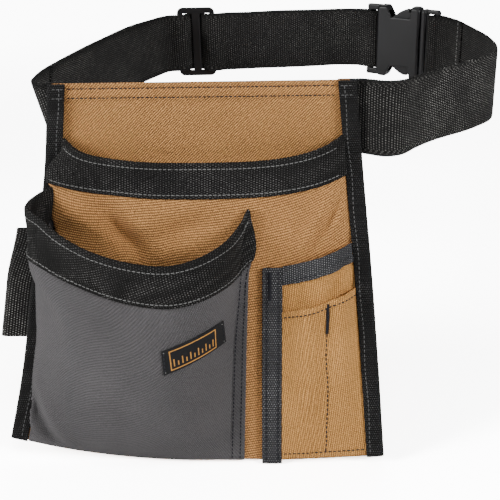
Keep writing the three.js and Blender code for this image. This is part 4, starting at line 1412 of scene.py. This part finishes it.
# Moulded fittings
SLOT_END = 25.8 * MM
SOFT_ROUNDS = 4


def close_slots(mesh):
    """The tri-glide's slots end close to the webbing's edges."""
    points = np.zeros(3 * len(mesh.vertices))
    mesh.vertices.foreach_get("co", points)
    points = points.reshape(-1, 3)
    level = points[:, :2] - (points[:, :2].max(0) + points[:, :2].min(0)) / 2
    ahead = np.linalg.svd(level - level.mean(0), full_matrices=False)[2][0]
    in_slots = np.abs(level @ ahead) < GLIDE_WIDTH / 2 - GLIDE_SIDE + 0.6 * MM
    height = np.abs(points[:, 2])
    ends = in_slots & (height > BELT_WIDTH / 2) & (height < SLOT_END + 4 * MM)
    points[ends, 2] = np.sign(points[ends, 2]) * SLOT_END
    mesh.vertices.foreach_set("co", points.ravel())
    mesh.update()


def moulded(node, grain):
    """The frame's own shape with soft moulded edges."""
    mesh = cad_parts[node].data.copy()
    if node == "tri_glide":
        close_slots(mesh)
    piece = keep_piece(node + "_moulded", mesh, [node])
    remesh = piece.modifiers.new("moulded", "REMESH")
    remesh.mode = "VOXEL"
    remesh.voxel_size = grain
    soft = piece.modifiers.new("soft", "SMOOTH")
    soft.factor = 0.5
    soft.iterations = SOFT_ROUNDS
    bpy.context.view_layer.update()
    shown = piece.evaluated_get(bpy.context.evaluated_depsgraph_get())
    mesh = bpy.data.meshes.new_from_object(shown)
    piece.modifiers.clear()
    piece.data = mesh
    mesh.materials.clear()
    mesh.materials.append(moulded_black)
    mesh.polygons.foreach_set("use_smooth", np.ones(len(mesh.polygons), bool))


moulded("tri_glide", 0.35 * MM)
moulded("buckle_female", 0.55 * MM)
moulded("buckle_male", 0.55 * MM)


# What each cloth was cut to, how it is held and what it rests on, listed as calls to cut(), which does
# nothing with them
def cut(name, width, length, held, rests_on, area=None, with_pieces=()):
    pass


cut("back_panel_cloth", 0.256, 0.275, "hung", ["belt_left", "belt_right"], 0.0617,
    ["left_binding_tape", "right_binding_tape", "dark_stitches", "light_stitches", "binding_stitches"])
cut("upper_pocket_cloth", 0.27, 0.235, "gathered", ["back_panel"], 0.0524, ["upper_pocket_trim_tape"])
cut("main_pocket_cloth", 0.26, 0.19, "gathered", ["upper_pocket"], 0.0319,
    ["main_pocket_trim_tape", "label_patch"])
cut("small_pocket_cloth", 0.095, 0.15, "hung", ["upper_pocket"], 0.0115,
    ["small_pocket_top_tape_cloth", "small_pocket_side_tape_cloth"])
cut("pen_pocket_cloth", 0.085, 0.12, "hung", ["small_pocket"], 0.008, ["bar_tacks"])
cut("hammer_loop_webbing", 0.0762, 0.075, "folded", ["left_binding"])
cut("belt_left_webbing", 0.0508, left_run[-1], "stretched", ["tri_glide", "buckle_female"])
cut("belt_right_webbing", 0.0508, right_run[-1], "stretched", ["buckle_male"])

# Floor, light and camera
FLOOR_Z = -228.8 * MM
FLOOR_HALF = 6.0
AMBIENT = 0.105
BACKDROP = 11.0
FLOOR_SHOWN = 11.0
FLOOR_CLEAR = 0.55
FLOOR_GONE = 1.5


def pale_floor():
    half = FLOOR_HALF
    corners = [(-half, -half, FLOOR_Z), (half, -half, FLOOR_Z), (half, half, FLOOR_Z), (-half, half, FLOOR_Z)]
    mesh = bpy.data.meshes.new("floor")
    mesh.from_pydata(corners, [], [[0, 1, 2, 3]])
    finish = Finish("pale_floor")
    finish.surface(Base_Color=(0.8, 0.8, 0.8), Roughness=0.9, Specular_IOR_Level=0.1)
    seen = finish.node("LightPath", {}, {})
    shown = finish.node("BsdfDiffuse", {}, {"Color": (FLOOR_SHOWN, FLOOR_SHOWN, FLOOR_SHOWN)})
    lit = Shade(finish, finish.shader.outputs[0])
    glow = finish.node("Emission", {}, {"Strength": BACKDROP})
    away = finish.place().span().over(FLOOR_CLEAR, FLOOR_GONE)
    faded = finish.node("MixShader", {}, {0: away, 1: shown, 2: glow})
    both = finish.node("MixShader", {}, {0: seen, 1: lit, 2: faded})
    finish.put(finish.tree.nodes["Material Output"].inputs["Surface"], both)
    mesh.materials.append(finish.material)
    floor = new_object("floor", mesh)


def soft_light(name, place, aim, width, power):
    data = bpy.data.lights.new(name, "AREA")
    data.shape = "DISK"
    data.size = width
    data.energy = power
    lamp = new_object(name, data)
    lamp.location = place
    lamp.rotation_euler = (Vector(aim) - Vector(place)).to_track_quat("-Z", "Y").to_euler()


def pale_studio():
    world = bpy.data.worlds.new("studio")
    world.use_nodes = True
    nodes = Nodes(world.node_tree)
    background = world.node_tree.nodes["Background"]
    nodes.put(background.inputs["Color"], (1, 1, 1))
    seen = nodes.node("LightPath", {}, {})
    nodes.put(background.inputs["Strength"], seen * (BACKDROP - AMBIENT) + AMBIENT)
    bpy.context.scene.world = world


pale_floor()
pale_studio()
soft_light("left_softbox", (-1.35, -0.75, 0.45), (-0.03, -0.1, -0.1), 0.55, 25)
soft_light("right_softbox", (1.2, -0.9, 0.5), (0, -0.1, -0.1), 0.55, 18)
soft_light("front_softbox", (0.1, -0.9, 1.3), (0, -0.1, 0), 0.8, 6)
soft_light("rear_softbox", (0.1, 1.1, 1.1), (0, 0, 0), 1.2, 9)

CAMERA_AT = (11.5 * MM, -747.1 * MM, 179 * MM)
CAMERA_TURNS = ((2.74, "Z"), (65.96, "X"), (-1.5, "Z"))
camera_data = bpy.data.cameras.new("camera")
camera_data.sensor_width = 36
camera_data.lens = 68.4
camera_data.clip_start = 0.05
camera = new_object("camera", camera_data)
view = Matrix.Translation(CAMERA_AT)
for degrees, axis in CAMERA_TURNS:
    view = view @ Matrix.Rotation(math.radians(degrees), 4, axis)
camera.matrix_world = view
bpy.context.scene.camera = camera
